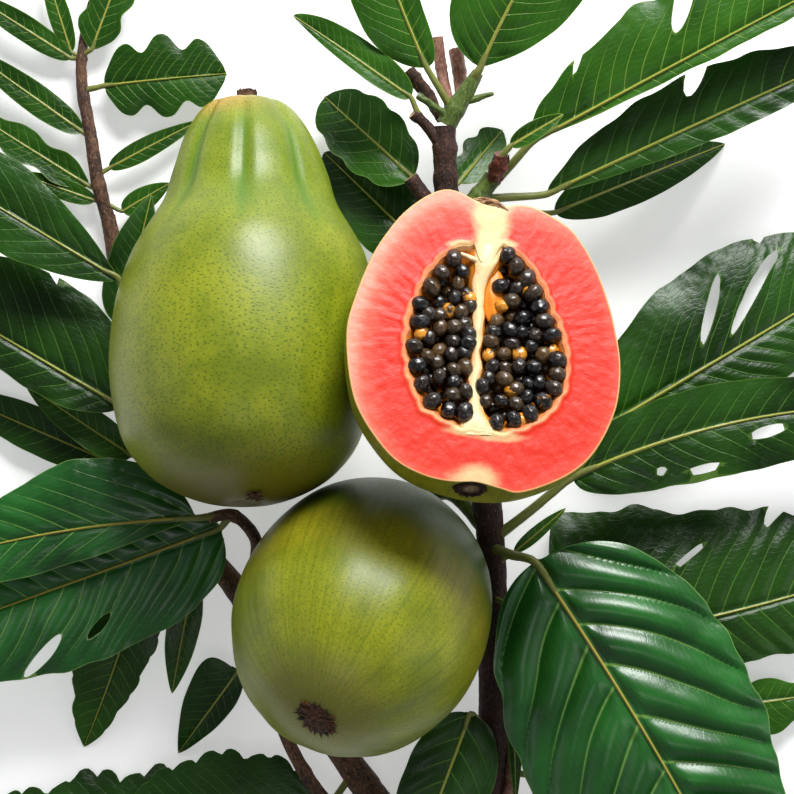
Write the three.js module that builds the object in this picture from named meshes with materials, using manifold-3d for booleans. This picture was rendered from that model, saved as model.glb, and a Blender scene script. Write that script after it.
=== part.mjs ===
// A cut papaya branch with three fruits, lying on a level floor.
// Millimetres. +X runs across the branch, +Y along it towards its tip, +Z up from the floor.
import * as THREE from "three";
import { mergeVertices } from "three/addons/utils/BufferGeometryUtils.js";
import Module from "manifold-3d";

const wasm = await Module();
wasm.setup();

// Driving dimensions
const wholeFruitLength = 185;
const wholeFruitRadius = 58;
const lowerFruitLength = 134;
const lowerFruitRadius = 55.5;
const halfFruitLength = 121;
const seedRadius = 4.4;
const hollowDepth = 20;
const wholeScarRadius = 5.5;
const lowerScarRadius = 9.5;
const halfScarRadius = 7;
const clearance = 0.3;
const bladeThicknessShare = 1 / 90;
const thinnestBlade = 0.9;
// A blade folds up from its midrib, droops towards its edges and arches along its length.
const bladeFold = 0.12;
const bladeDroop = 0.006;
const bladeArch = 0.04;
const tuftHeight = 3;
// Moves the branch so that its outline is centred on the origin.
const centring = new THREE.Vector3(-6.97, 10.54, 0);

const barkDark = { color: 0x3b2320, roughness: 0.8, metalness: 0 };
const barkBrown = { color: 0x5a4236, roughness: 0.8, metalness: 0 };
const twigPink = { color: 0xa9776a, roughness: 0.75, metalness: 0 };
const shootGreen = { color: 0x6c7a3a, roughness: 0.6, metalness: 0 };
const budRed = { color: 0x8a3030, roughness: 0.5, metalness: 0 };
const leafDark = { color: 0x1d4a24, roughness: 0.35, metalness: 0 };
const leafGreen = { color: 0x2f6b25, roughness: 0.45, metalness: 0 };
const fruitGreen = { color: 0x8f9f2e, roughness: 0.4, metalness: 0 };
const fleshRed = { color: 0xf2705c, roughness: 0.5, metalness: 0 };
const seedBlack = { color: 0x1c1a20, roughness: 0.25, metalness: 0 };
const scarBrown = { color: 0x3f2518, roughness: 0.9, metalness: 0 };

// Limbs: places along each limb from its foot to its end, then the radius there.
const limbs = {
  main_stem: [
    [24, -242, 10.5, 10.5],
    [36, -205, 13, 8.6],
    [43, -169, 16, 7.2],
    [44, -111, 22, 6.6],
    [42, -60, 28, 6.3],
    [33, -1, 34, 6],
    [25, 53, 38, 5.7],
    [22, 93, 41, 5.3],
    [21, 121, 44, 5],
  ],
  left_bough: [
    [29, -231, 11, 6.6],
    [17, -219, 11, 6.8],
    [4, -202, 11, 6.8],
    [-15, -179, 10.5, 6.6],
    [-56, -118, 8.5, 5.8],
    [-78, -84, 8, 5.4],
    [-101, -58, 7.5, 5],
    [-119, -11, 6, 4.6],
    [-127, 36, 5.5, 4.2],
    [-132, 73, 6, 3.6],
    [-134, 84, 7, 3.4],
  ],
  left_shoot: [
    [-2, -209, 14, 3],
    [-24, -192, 22, 3.2],
    [-36, -180, 23, 3.1],
    [-50, -156, 23, 3],
    [-61, -120, 23, 2.9],
    [-66, -86, 22, 2.8],
    [-64, -64, 32, 2.8],
    [-74, -53, 38, 2.7],
    [-84, -54, 41, 2.4],
  ],
  right_shoot: [
    [36, -211, 14, 2.6],
    [51, -182, 17, 2.8],
    [53, -152, 18, 2.4],
    [54, -126, 19, 1.8],
  ],
  upper_right_shoot: [
    [22, 76, 40, 4],
    [35, 88, 44, 4.2],
    [43, 98, 46, 4],
  ],
  crown_shoot: [
    [22, 121.5, 44, 4.6],
    [25, 127, 45, 4.7],
    [31, 136, 47, 3.8],
    [36, 144, 49, 2.6],
  ],
  half_fruit_stalk: [
    [24, 64, 38.5, 4.6],
    [32, 76, 58, 4],
    [38, 84, 84, 4],
    [40, 77, 91, 4.6],
  ],
  lower_fruit_stalk: [
    [42, -62, 27.5, 3.6],
    [24, -44, 14, 3.6],
    [8, -46, 10, 4],
    [2, -62, 12, 5],
  ],
};

// Stubs and twigs that grow from a limb and are one piece with it.
const sideStubs = {
  main_stem: [
    [[20, 112, 44, 3], [13, 121, 46, 2.4], [7, 126, 48, 2.6]],
    [[20, 80, 41, 3.6], [11, 91, 43, 3.6], [6, 98, 44, 3.2]],
  ],
  crown_shoot: [
    [[24, 124, 46, 1.8], [15, 130, 48.5, 1.6], [9, 134, 49, 1.4]],
    [[29, 131, 46, 2], [36, 133, 47, 1.6], [43, 135, 48, 0.6]],
  ],
};

// Twigs in nodes of their own, each standing on the limb named first.
const twigs = {
  cut_twig_left: { on: "crown_shoot", points: [[24, 128, 42, 2.3], [20, 146, 40.5, 2.6], [18, 161, 41, 2.7]] },
  cut_twig_right: { on: "crown_shoot", points: [[29, 131, 43, 2.8], [28, 146, 38, 3.2], [26.5, 156, 35, 3.4]] },
  dead_stub: { on: "crown_shoot", points: [[20, 124, 42, 2.2], [12, 138, 38, 2.9], [5, 146, 36, 3.6]] },
  leaf_bud: { on: "upper_right_shoot", points: [[43, 97, 48, 3.4], [45, 102, 52, 3.8], [46, 107, 55, 3.2]] },
};

// Leaves. root is where the stalk starts on its limb, base and tip are the ends of the blade.
// left and right are the blade's sides, looking from base to tip: greatest half width, then how
// round the foot is and how round the tip is, where small numbers are rounder.
// cuts are holes and notches: middle along and across the blade, half size across as a share of
// the side, half size along in millimetres, and how far the cut leans forward.
const leaves = {
  crown_leaf_left: {
    on: "main_stem", root: [11, 122, 47], base: [6, 133, 50], tip: [-46, 169, 50],
    left: [5.2, 0.4, 0.8], right: [9.2, 0.4, 0.55], stalk: 1.3, tone: leafGreen, small: true,
  },
  crown_leaf_middle: {
    on: "crown_shoot", root: [25, 127, 45], base: [13, 146, 52], tip: [-15, 224, 58],
    left: [20, 0.6, 0.9], right: [9, 0.35, 0.6], stalk: 1.6, tone: leafGreen, bow: 2,
  },
  crown_leaf_right: {
    on: "crown_shoot", root: [34, 141, 48.5], base: [37, 146, 52], tip: [76, 215, 62],
    left: [24.5, 0.45, 1], right: [27, 0.9, 0.6], stalk: 2, tone: leafGreen, bow: 2,
  },
  upper_left_leaf: {
    on: "main_stem", root: [12, 91, 43], base: [7, 99, 33], tip: [-33, 138, 12],
    left: [17.2, 0.38, 0.4], right: [17, 0.5, 0.5], stalk: 1.6, tone: leafGreen,
    lobes: 4, lobeDepth: 0.1,
  },
  left_back_leaf: {
    on: "main_stem", root: [25, 57, 37], base: [17, 62, 26], tip: [-34, 114, 0.5],
    left: [18, 0.45, 0.7], right: [17, 0.45, 0.7], stalk: 1.6, tone: leafDark,
  },
  upper_back_leaf: {
    on: "main_stem", root: [22, 92, 41], base: [28, 97, 32], tip: [48, 122, 18],
    left: [10, 0.45, 0.5], right: [8.5, 0.45, 0.5], stalk: 1.4, tone: leafGreen, lobes: 3, lobeDepth: 0.25, small: true,
  },
  rolled_leaf: {
    on: "leaf_bud", root: [46, 106, 55], base: [50, 110.5, 57.5], tip: [73, 124, 60],
    left: [4.5, 0.5, 0.8], right: [4, 0.5, 0.8], stalk: 1.5, tone: leafGreen, fold: 0.5, small: true,
  },
  upper_right_leaf: {
    on: "upper_right_shoot", clearOf: "leaf_bud", root: [43, 95, 45.5], base: [60, 113, 51], tip: [207, 190, 66],
    left: [32, 0.6, 0.5], right: [6, 0.9, 0.5], stalk: 1.9, tone: leafGreen,
    cuts: [[0.21, 1, 0.25, 2, 1], [0.53, 0.8, 0.42, 5.5, 0.8]],
  },
  right_leaf: {
    on: "upper_right_shoot", root: [35, 88, 44], base: [67, 91, 39], tip: [205, 154, 44],
    left: [22, 0.8, 0.8], right: [9.8, 0.9, 0.6], stalk: 1.9, tone: leafDark,
    cuts: [[0.54, 0.95, 0.38, 5, 0.8]],
  },
  right_back_leaf: {
    on: "upper_right_shoot", root: [29, 83, 42], base: [72, 84, 25], tip: [153, 118, 0.71],
    left: [12, 0.5, 0.8], right: [11, 0.5, 0.8], stalk: 1.5, tone: leafDark,
  },
  middle_right_leaf: {
    on: "main_stem", root: [37, -33, 31], base: [91, -16, 20], tip: [220, 60, 1.1],
    left: [43.5, 0.6, 0.5], right: [24, 0.45, 0.6], stalk: 2.2, tone: leafDark,
    cuts: [[0.49, 0.5, 0.28, 3.6, 1], [0.647, 0.48, 0.33, 5, 1.5], [0.746, 1, 0.1, 2.5, 1]],
  },
  lower_right_leaf: {
    on: "main_stem", root: [42, -66, 27.5], base: [79, -36, 36], tip: [220, -4, 30],
    left: [19, 0.3, 0.45], right: [23, 0.45, 0.4], stalk: 2.2, tone: leafDark, bow: 8,
    cuts: [[0.27, -0.62, 0.1, 2.6, 0], [0.4, -0.76, 0.09, 9, 0], [0.62, -0.3, 0.12, 8.5, -1]],
  },
  big_front_leaf: {
    on: "main_stem", root: [42, -68, 27], base: [61, -73, 53], tip: [158, -238, 50],
    left: [53.5, 0.35, 0.57], right: [57, 0.5, 0.45], stalk: 2.2, tone: leafDark, bow: 4,
    roll: 4,
  },
  right_behind_leaf: {
    on: "main_stem", root: [43, -100, 23.5], base: [79, -113, 20], tip: [236, -76, 1.12],
    left: [57, 0.14, 0.65], right: [24.7, 0.5, 0.45], stalk: 2, tone: leafDark, bow: -3,
    cuts: [[0.383, 0.56, 0.12, 2.6, 1.5], [0.67, 1, 0.2, 3, 1]],
  },
  small_side_leaf: {
    on: "main_stem", root: [42, -78, 26], base: [53, -70, 33], tip: [76, -50, 35],
    left: [3.5, 0.5, 0.8], right: [3, 0.5, 0.8], stalk: 1.1, tone: leafGreen, small: true,
  },
  lower_edge_leaf: {
    on: "right_shoot", root: [53, -150, 18], base: [132, -146, 8], tip: [211, -136, 0.9],
    left: [11, 0.45, 0.6], right: [16, 0.45, 0.6], stalk: 1.4, tone: leafGreen, lobes: 3, lobeDepth: 0.3, small: true,
  },
  lowest_right_leaf: {
    on: "right_shoot", root: [52, -172, 17.5], base: [113, -184, 7], tip: [211, -210, 0.9],
    left: [14, 0.45, 0.7], right: [15, 0.45, 0.7], stalk: 1.4, tone: leafDark, small: true,
  },
  bottom_leaf: {
    on: "main_stem", root: [43, -153, 17.5], base: [33, -143, 33], tip: [0, -231, 29],
    left: [22, 0.4, 0.7], right: [19, 0.4, 0.7], stalk: 1.6, tone: leafDark,
  },
  narrow_leaf: {
    on: "main_stem", root: [42, -90, 25], base: [51, -94, 36], tip: [54, -184, 27],
    left: [5, 0.5, 0.8], right: [4, 0.5, 0.8], stalk: 1.2, tone: leafDark, small: true,
  },
  bottom_left_leaf: {
    on: "left_bough", root: [-20, -173, 10.5], base: [-37, -196, 17], tip: [-126, -198, 11],
    left: [18, 0.45, 0.6], right: [36, 0.35, 0.5], stalk: 1.6, tone: leafDark,
    lobes: 3, lobeDepth: 0.08,
  },
  bottom_far_leaf: {
    on: "left_bough", root: [3, -201, 11], base: [-52, -221, 3], tip: [-200, -214, 3],
    left: [18, 0.45, 0.6], right: [47, 0.35, 0.45], stalk: 1.6, tone: leafDark,
    lobes: 4, lobeDepth: 0.12,
  },
  hanging_leaf: {
    on: "left_bough", root: [-100, -62, 7.5], base: [-116, -77, 12], tip: [-146, -163, 0.64],
    left: [16.5, 0.2, 0.64], right: [19.8, 0.9, 0.9], stalk: 1.4, tone: leafGreen, bow: 2,
    lobes: 4, lobeDepth: 0.1,
  },
  hanging_lobe: {
    on: "left_bough", root: [-90, -70, 7.8], base: [-94, -86, 15], tip: [-104, -137, 9],
    left: [7.5, 0.4, 0.8], right: [8, 0.4, 0.8], stalk: 1.2, tone: leafGreen, small: true,
  },
  low_narrow_leaf: {
    on: "left_bough", root: [-62, -109, 8.4], base: [-73, -126, 13], tip: [-102, -166, 0.5],
    left: [8, 0.4, 0.8], right: [15.9, 0.2, 0.9], stalk: 1.2, tone: leafDark, small: true,
  },
  left_front_leaf: {
    on: "left_shoot", root: [-79, -53, 39.5], base: [-90, -54, 44], tip: [-213, -75, 42],
    left: [17, 1, 0.5], right: [31, 0.6, 1.2], stalk: 1.7, tone: leafDark, bow: -4, roll: 3,
  },
  left_holed_leaf: {
    on: "left_shoot", root: [-75, -53.5, 38.5], base: [-79.5, -59, 36], tip: [-219, -110, 28],
    left: [37, 0.36, 0.4], right: [18, 0.45, 0.6], stalk: 1.7, tone: leafDark,
    cuts: [[0.437, 0.61, 0.1, 3, 1.8], [0.638, 0.76, 0.22, 4.4, 1.4]],
  },
  left_side_leaf: {
    on: "left_bough", root: [-120, -6, 6], base: [-126, -4, 22], tip: [-222, 52, 15],
    left: [14.5, 0.6, 1.2], right: [36.5, 0.5, 0.55], stalk: 1.7, tone: leafDark,
    cuts: [[0.51, -1, 0.12, 2.5, 1.5]],
  },
  left_under_leaf: {
    on: "left_bough", root: [-118, -20, 6.3], base: [-122, -27, 12], tip: [-172, 6, 8],
    left: [9, 0.45, 0.8], right: [9, 0.45, 0.8], stalk: 1.3, tone: leafGreen, small: true,
  },
  left_upper_leaf: {
    on: "left_bough", root: [-122, 10, 6], base: [-125, 53, 36], tip: [-213, 106, 40],
    left: [17.5, 0.7, 0.45], right: [21.5, 1, 0.5], stalk: 1.5, tone: leafDark,
  },
  left_low_leaf: {
    on: "left_bough", root: [-107, -46, 7], base: [-126, -33, 5], tip: [-212, 4, 0.62],
    left: [11, 0.45, 0.7], right: [11, 0.45, 0.7], stalk: 1.4, tone: leafDark, small: true,
  },
  behind_fruit_leaf: {
    on: "left_bough", root: [-126, 25, 5.5], base: [-126, 33, 15], tip: [-113, 93, 14],
    left: [13, 0.45, 0.8], right: [9, 0.45, 0.8], stalk: 1.4, tone: leafDark, small: true,
  },
};

// The far left spray: its own twig, and the small lobed leaves that grow on it as one piece.
const sprayTwig = [
  [-134, 83, 7, 3.3],
  [-138, 98, 8.5, 3.3],
  [-142, 122, 8, 3],
  [-146, 145, 7, 2.7],
  [-146, 158, 7, 2.4],
  [-143, 178, 6, 1.9],
  [-136, 198, 6, 1.3],
];
const sprayLeaves = [
  {
    root: [-146, 158, 7], base: [-141, 161, 9], tip: [-121, 213, 8],
    left: [12, 0.45, 0.7], right: [11, 0.45, 0.7], stalk: 1.2, lobes: 3,
  },
  {
    root: [-145, 142, 7], base: [-135, 144, 9], tip: [-79, 149, 12],
    left: [21, 0.35, 0.4], right: [18, 0.35, 0.4], stalk: 1.4, lobes: 3, lobeDepth: 0.35,
  },
  {
    root: [-138, 103, 8.3], base: [-133, 106, 8], tip: [-91, 128, 8],
    left: [5, 0.45, 0.8], right: [5, 0.45, 0.8], stalk: 1.2,
  },
  {
    root: [-136, 90, 7.6], base: [-127, 86, 8], tip: [-105, 99, 8],
    left: [5.5, 0.45, 0.8], right: [6, 0.45, 0.8], stalk: 1.1,
  },
  {
    root: [-146, 157, 7], base: [-151, 157, 7], tip: [-203, 190, 7],
    left: [6, 0.45, 0.8], right: [6, 0.45, 0.8], stalk: 1.2,
  },
  {
    root: [-146, 157, 7], base: [-151, 160, 7], tip: [-164, 203, 10],
    left: [5, 0.45, 0.8], right: [5, 0.45, 0.8], stalk: 1.1,
  },
  {
    root: [-142, 120, 8], base: [-146, 123, 8], tip: [-202, 163, 7],
    left: [7, 0.45, 0.8], right: [7, 0.45, 0.8], stalk: 1.3,
  },
  {
    root: [-138, 96, 8.2], base: [-143, 98, 8], tip: [-205, 137, 8],
    left: [8.5, 0.45, 0.7], right: [8.5, 0.45, 0.7], stalk: 1.3, lobes: 3,
  },
  {
    root: [-136, 90, 7.6], base: [-140, 91, 8], tip: [-177, 104, 9],
    left: [5, 0.45, 0.8], right: [5, 0.45, 0.8], stalk: 1.1,
  },
];

// Fruit outlines, as radius and height above the blossom end.
const wholeFruitRightOutline = [
  [0, 2], [14, 1], [30, 7.5], [43, 18], [52.5, 34], [wholeFruitRadius, 61], [wholeFruitRadius, 90],
  [53.5, 114], [41.5, 137], [36.5, 153], [30, 169], [20, 182], [8, wholeFruitLength], [0, wholeFruitLength - 3],
];
const wholeFruitLeftOutline = [
  [0, 2], [14, 1], [30, 7.5], [43, 18], [52.5, 34], [wholeFruitRadius, 61], [wholeFruitRadius - 1.5, 90],
  [49.5, 114], [37, 137], [32.5, 153], [27.5, 169], [19, 182], [8, wholeFruitLength], [0, wholeFruitLength - 3],
];
const lowerFruitOutline = [
  [0, 2.5], [9, 0], [25, 6.5], [41, 21], [51.5, 40], [lowerFruitRadius, 62], [53.5, 85], [45, 108],
  [28, 127], [10, lowerFruitLength], [0, lowerFruitLength - 3],
];
const halfFruitLeftOutline = [
  [0, 0], [9, -2.5], [22, -1], [35, 5.5], [48, 21], [54, 36], [57, 57], [54.5, 73],
  [49.6, 90], [44, 102], [36.8, 113], [27, 122], [18.5, 125], [8, halfFruitLength], [0, halfFruitLength - 4],
];
const halfFruitRightOutline = [
  [0, 0], [12, -3.4], [20.4, -4.5], [39, 5.7], [49, 16.6], [56.8, 35.6], [58, 55], [54, 75],
  [52.5, 86], [50, 95], [44, 107], [35, 116.5], [17, 122.5], [6, halfFruitLength - 1], [0, halfFruitLength - 4],
];

// Where the fruits lie. The whole fruit rests on its belly, with its neck a little lower.
const bellyHeight = 75;
const wholeFruitMiddle = new THREE.Vector3(-67.6, 24, 58.8);
const wholeFruitTilt = THREE.MathUtils.degToRad(-12);
const lowerFruitMiddle = new THREE.Vector3(-15, -95.5, 64.5);
const lowerFruitPoint = new THREE.Vector3(-0.27, -0.55, 0.79).normalize();
const halfFruitMiddle = new THREE.Vector3(35.7, 21.6, 117);
const halfFruitFoot = new THREE.Vector3(-4.6, -57.2, 0);
const halfFruitTilt = new THREE.Euler(THREE.MathUtils.degToRad(-18), THREE.MathUtils.degToRad(7), 0);
const halfFruitSlant = THREE.MathUtils.degToRad(-4.5);
const cutAheadOfAxis = 5;

// The seed hollow in the cut face: an egg, split by a thin wall of flesh that leans a little.
const hollowMiddle = [1, 2.2, 0];
const hollowHalfSize = [33.4, 39.2, hollowDepth];
const hollowTopNarrowing = 0.1;
const septumThickness = 2.8;
const septumLean = THREE.MathUtils.degToRad(-4.6);

const up = new THREE.Vector3(0, 0, 1);

function toSolid(geometry) {
  const merged = mergeVertices(stripped(geometry), 1e-4);
  return new wasm.Manifold(
    new wasm.Mesh({
      numProp: 3,
      vertProperties: new Float32Array(merged.attributes.position.array),
      triVerts: new Uint32Array(merged.index.array),
    }),
  );
}

function stripped(geometry) {
  geometry.deleteAttribute("normal");
  geometry.deleteAttribute("uv");
  return geometry;
}

function toGeometry(solid) {
  const mesh = solid.getMesh();
  const geometry = new THREE.BufferGeometry();
  geometry.setAttribute("position", new THREE.BufferAttribute(mesh.vertProperties, mesh.numProp));
  geometry.setIndex(new THREE.BufferAttribute(mesh.triVerts, 1));
  geometry.computeVertexNormals();
  return geometry;
}

// Bends a geometry by moving each of its shared vertices.
function bend(geometry, place) {
  const merged = mergeVertices(stripped(geometry), 1e-4);
  const position = merged.attributes.position;
  for (let i = 0; i < position.count; i += 1) {
    const spot = place(position.getX(i), position.getY(i), position.getZ(i));
    position.setXYZ(i, spot.x, spot.y, spot.z);
  }
  return merged;
}

// A limb that tapers along a smooth path through its listed places.
function limbSolid(points, sides, steps, extra = 0) {
  const path = new THREE.CatmullRomCurve3(points.map((p) => new THREE.Vector3(p[0], p[1], p[2])));
  const radii = points.map((p) => p[3] + extra);
  const side = new THREE.Vector3();
  const other = new THREE.Vector3();
  const shape = bend(new THREE.CylinderGeometry(1, 1, 1, sides, steps), (x, y, z) => {
    const t = THREE.MathUtils.clamp(y + 0.5, 0, 1);
    const along = path.getTangent(t);
    side.crossVectors(along, up).normalize();
    other.crossVectors(side, along);
    const radius = radiusAt(radii, t);
    const spot = path.getPoint(t).addScaledVector(along, t === 1 ? extra : t === 0 ? -extra : 0);
    return spot.addScaledVector(side, x * radius).addScaledVector(other, z * radius);
  });
  return toSolid(shape);
}

function radiusAt(radii, t) {
  const place = t * (radii.length - 1);
  const first = Math.min(Math.floor(place), radii.length - 2);
  return THREE.MathUtils.lerp(radii[first], radii[first + 1], place - first);
}

// The leaf's own directions: along the blade, to its left and up from it.
function leafAxes(leaf) {
  const base = new THREE.Vector3(...leaf.base);
  const tip = new THREE.Vector3(...leaf.tip);
  const along = tip.clone().sub(base).normalize();
  const left = new THREE.Vector3().crossVectors(up, along).normalize();
  const above = new THREE.Vector3().crossVectors(along, left);
  const roll = THREE.MathUtils.degToRad(leaf.roll ?? 0);
  left.applyAxisAngle(along, roll);
  above.applyAxisAngle(along, roll);
  return { base, tip, along, left, above, length: tip.distanceTo(base) };
}

// Half width of one side of the blade at t, from 0 at the foot to 1 at the tip.
function halfWidth(leaf, t, across) {
  const [widest, foot, taper] = across > 0 ? leaf.left : leaf.right;
  const peak = foot / (foot + taper);
  const inside = THREE.MathUtils.clamp(t, 0, 1);
  const rise = (inside / peak) ** foot * ((1 - inside) / (1 - peak)) ** taper;
  const lobe = Math.abs(Math.cos(Math.PI * (leaf.lobes ?? 0) * t)) ** 3;
  const lobed = leaf.lobes ? 1 - (leaf.lobeDepth ?? 0.3) * lobe : 1;
  return Math.max(widest * rise * lobed, 0.5);
}

// A place on the blade: t runs from base to tip, across from the right edge, -1, to the left one, 1.
function leafPlace(leaf, axes, t, across, lift) {
  const reach = Math.abs(across) * halfWidth(leaf, t, across);
  const bulge = 4 * t * (1 - t);
  const fold = leaf.fold ?? bladeFold;
  const height = fold * reach - bladeDroop * reach * reach + axes.length * bladeArch * bulge;
  return axes.base
    .clone()
    .lerp(axes.tip, t)
    .addScaledVector(axes.left, (leaf.bow ?? 0) * bulge + Math.sign(across) * reach)
    .addScaledVector(axes.above, height + lift);
}

function bladeThickness(leaf, axes) {
  const reach = axes.tip.distanceTo(new THREE.Vector3(...leaf.root));
  return Math.max(thinnestBlade, reach * bladeThicknessShare);
}

function bladeSolid(leaf) {
  const axes = leafAxes(leaf);
  const thickness = bladeThickness(leaf, axes);
  const rows = leaf.lobes ? leaf.lobes * 3 : leaf.small ? 5 : 8;
  const box = new THREE.BoxGeometry(2, 1, 1, leaf.small ? 2 : 4, 1, rows);
  const shape = bend(box, (x, y, z) => {
    const t = leaf.lobes ? z + 0.5 : 0.5 - 0.5 * Math.cos(Math.PI * (z + 0.5));
    const ribbed = Math.abs(x) < 0.01 ? 1 + 1.2 * (1 - t) : 1;
    return leafPlace(leaf, axes, t, x, y * thickness * ribbed);
  });
  return toSolid(shape);
}

function cutterSolid(leaf, [t, across, halfAcross, halfAlong, lean]) {
  const axes = leafAxes(leaf);
  const side = halfWidth(leaf, t, across);
  const depth = 20;
  const shape = bend(new THREE.CylinderGeometry(1, 1, 1, 8, 1), (x, y, z) => {
    const outward = x * Math.sign(across) * halfAcross * side;
    const forward = (z * halfAlong + lean * outward) / axes.length;
    return leafPlace(leaf, axes, t + forward, across + x * halfAcross, (y * depth) / 2);
  });
  return toSolid(shape);
}

// A blade with its stalk, which is sunk into the blade's foot.
function leafSolid(leaf) {
  const axes = leafAxes(leaf);
  const inside = leafPlace(leaf, axes, 0.08, 0, 0);
  const foot = leafPlace(leaf, axes, 0, 0, 0);
  const root = new THREE.Vector3(...leaf.root);
  const middle = root.clone().lerp(foot, 0.5);
  middle.z += (foot.z - root.z) * 0.15;
  const points = [
    [...root.toArray(), leaf.stalk * 1.15],
    [...middle.toArray(), leaf.stalk],
    [...foot.toArray(), leaf.stalk * 0.85],
    [...inside.toArray(), leaf.stalk * 0.6],
  ];
  let solid = bladeSolid(leaf).add(limbSolid(points, ...stalkDetail));
  for (const cut of leaf.cuts ?? []) {
    solid = solid.subtract(cutterSolid(leaf, cut));
  }
  return solid;
}

// A fruit turned about +Y from its blossom end, with its own outline on each side.
function fruitSolid(rightOutline, leftOutline, sides, rows, extra = 0) {
  const right = new THREE.SplineCurve(rightOutline.map((p) => new THREE.Vector2(...p)));
  const left = new THREE.SplineCurve(leftOutline.map((p) => new THREE.Vector2(...p)));
  const shape = bend(new THREE.SphereGeometry(1, sides, rows), (x, y, z) => {
    const t = 1 - Math.acos(THREE.MathUtils.clamp(y, -1, 1)) / Math.PI;
    const ring = Math.hypot(x, z);
    const turn = ring < 1e-6 ? new THREE.Vector2() : new THREE.Vector2(x / ring, z / ring);
    const spot = left.getPoint(t).lerp(right.getPoint(t), (1 + turn.x) / 2);
    const radius = Math.max(spot.x, 0) + extra;
    return new THREE.Vector3(turn.x * radius, spot.y + Math.sign(y) * extra, turn.y * radius);
  });
  return toSolid(shape);
}

function boxSolid(size, middle) {
  return toSolid(new THREE.BoxGeometry(...size).translate(...middle));
}

// The hollow's egg in the half fruit's own frame, made smaller all round by inset.
function hollowSolid(inset) {
  const [halfWide, halfHigh, deep] = hollowHalfSize.map((size) => size - inset);
  const shape = bend(new THREE.SphereGeometry(1, 20, 9), (x, y, z) => {
    const narrow = 1 - hollowTopNarrowing * y;
    return new THREE.Vector3(x * halfWide * narrow, y * halfHigh, z * deep);
  });
  return toSolid(shape).translate(hollowMiddle);
}

// A slab along the wall between the seeds, or a block on one side of it.
function besideSeptum(from, to) {
  return boxSolid([to - from, 160, 120], [(from + to) / 2, 0, 0])
    .rotate([0, 0, THREE.MathUtils.radToDeg(septumLean)])
    .translate(hollowMiddle);
}

// The half fruit before its hollows: everything in front of the cut face is off.
function halfFruitBody(extra = 0) {
  return fruitSolid(halfFruitRightOutline, halfFruitLeftOutline, 22, 15, extra)
    .rotate([0, 0, THREE.MathUtils.radToDeg(halfFruitSlant)])
    .translate([halfFruitFoot.x, halfFruitFoot.y, -cutAheadOfAxis])
    .subtract(boxSolid([200, 200, 100], [0, 0, 50 + extra]));
}

function halfFruitSolid() {
  const wall = besideSeptum(-septumThickness / 2, septumThickness / 2);
  return halfFruitBody().subtract(hollowSolid(0).subtract(wall));
}

// A seed mass fills one side of the hollow: a bed below the face, and rows of seeds on it.
function seedSolid(side) {
  const near = septumThickness / 2 + clearance;
  const room = side > 0 ? besideSeptum(near, 60) : besideSeptum(-60, -near);
  const clip = hollowSolid(clearance * 1.6).intersect(room);
  let solid = boxSolid([90, 100, 14], [0, 0, -14]).intersect(clip);
  const pitch = seedRadius * 2.05;
  const rowPitch = pitch * 0.9;
  for (let row = -4; row <= 4; row += 1) {
    const stagger = (Math.abs(row) % 2) * 0.5;
    for (let step = 0; step <= 4; step += 1) {
      const y = row * rowPitch;
      const x = side * (step + stagger + 0.4) * pitch - y * Math.tan(septumLean);
      const edge = (x / (hollowHalfSize[0] - 3)) ** 2 + (y / (hollowHalfSize[1] - 3)) ** 2;
      if (edge < 1) {
        const seed = new THREE.IcosahedronGeometry(seedRadius, 0).rotateZ(row + step);
        seed.translate(x + hollowMiddle[0], y + hollowMiddle[1], -5);
        solid = solid.add(toSolid(seed).intersect(clip));
      }
    }
  }
  return solid;
}

// A scar at a fruit's end: a low disc, with short pointed bracts that spread from it.
function tuftSolid(radius, height, count) {
  let solid = toSolid(new THREE.CylinderGeometry(radius * 0.6, radius * 0.5, height, 10, 1));
  for (let i = 0; i < count; i += 1) {
    const bract = new THREE.ConeGeometry(radius * 0.16, radius * 0.8, 3).rotateZ(-Math.PI / 2);
    bract.translate(radius * 0.65, 0, 0).rotateY((i / count) * Math.PI * 2);
    solid = solid.add(toSolid(bract));
  }
  return solid;
}

function piece(name, solid, finish) {
  const mesh = new THREE.Mesh(toGeometry(solid), new THREE.MeshStandardMaterial(finish));
  mesh.name = name;
  return mesh;
}

const branch = new THREE.Group();
branch.position.copy(centring);

const limbFinish = {
  main_stem: barkDark,
  left_bough: barkBrown,
  left_shoot: barkBrown,
  right_shoot: barkBrown,
  upper_right_shoot: shootGreen,
  crown_shoot: shootGreen,
  half_fruit_stalk: barkBrown,
  lower_fruit_stalk: shootGreen,
  cut_twig_left: twigPink,
  cut_twig_right: twigPink,
  dead_stub: barkBrown,
  leaf_bud: budRed,
};
// Sides and steps of each limb, twig, side stub and leaf stalk
const twigDetail = [7, 3];
const sideStubDetail = [6, 3];
const stalkDetail = [5, 3];
const limbDetail = {
  main_stem: [10, 16],
  left_bough: [9, 16],
  left_shoot: [7, 16],
  right_shoot: [6, 6],
  upper_right_shoot: [7, 4],
  crown_shoot: [7, 4],
  half_fruit_stalk: [7, 5],
  lower_fruit_stalk: [7, 6],
};

// What a limb or leaf is cut clear of: the limbs that carry it, a little larger than they are.
function swollen(name) {
  if (twigs[name]) {
    return limbSolid(twigs[name].points, ...twigDetail, clearance);
  }
  let solid = limbSolid(limbs[name], ...limbDetail[name], clearance);
  for (const stub of sideStubs[name] ?? []) {
    solid = solid.add(limbSolid(stub, ...sideStubDetail, clearance));
  }
  return solid;
}

const limbCarrier = {
  left_bough: "main_stem",
  left_shoot: "left_bough",
  right_shoot: "main_stem",
  upper_right_shoot: "main_stem",
  crown_shoot: "main_stem",
  half_fruit_stalk: "main_stem",
  lower_fruit_stalk: "main_stem",
};

// Takes a group's own frame to the branch's frame.
function placed(solid, group) {
  group.updateMatrix();
  return solid.transform(group.matrix.elements);
}

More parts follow.
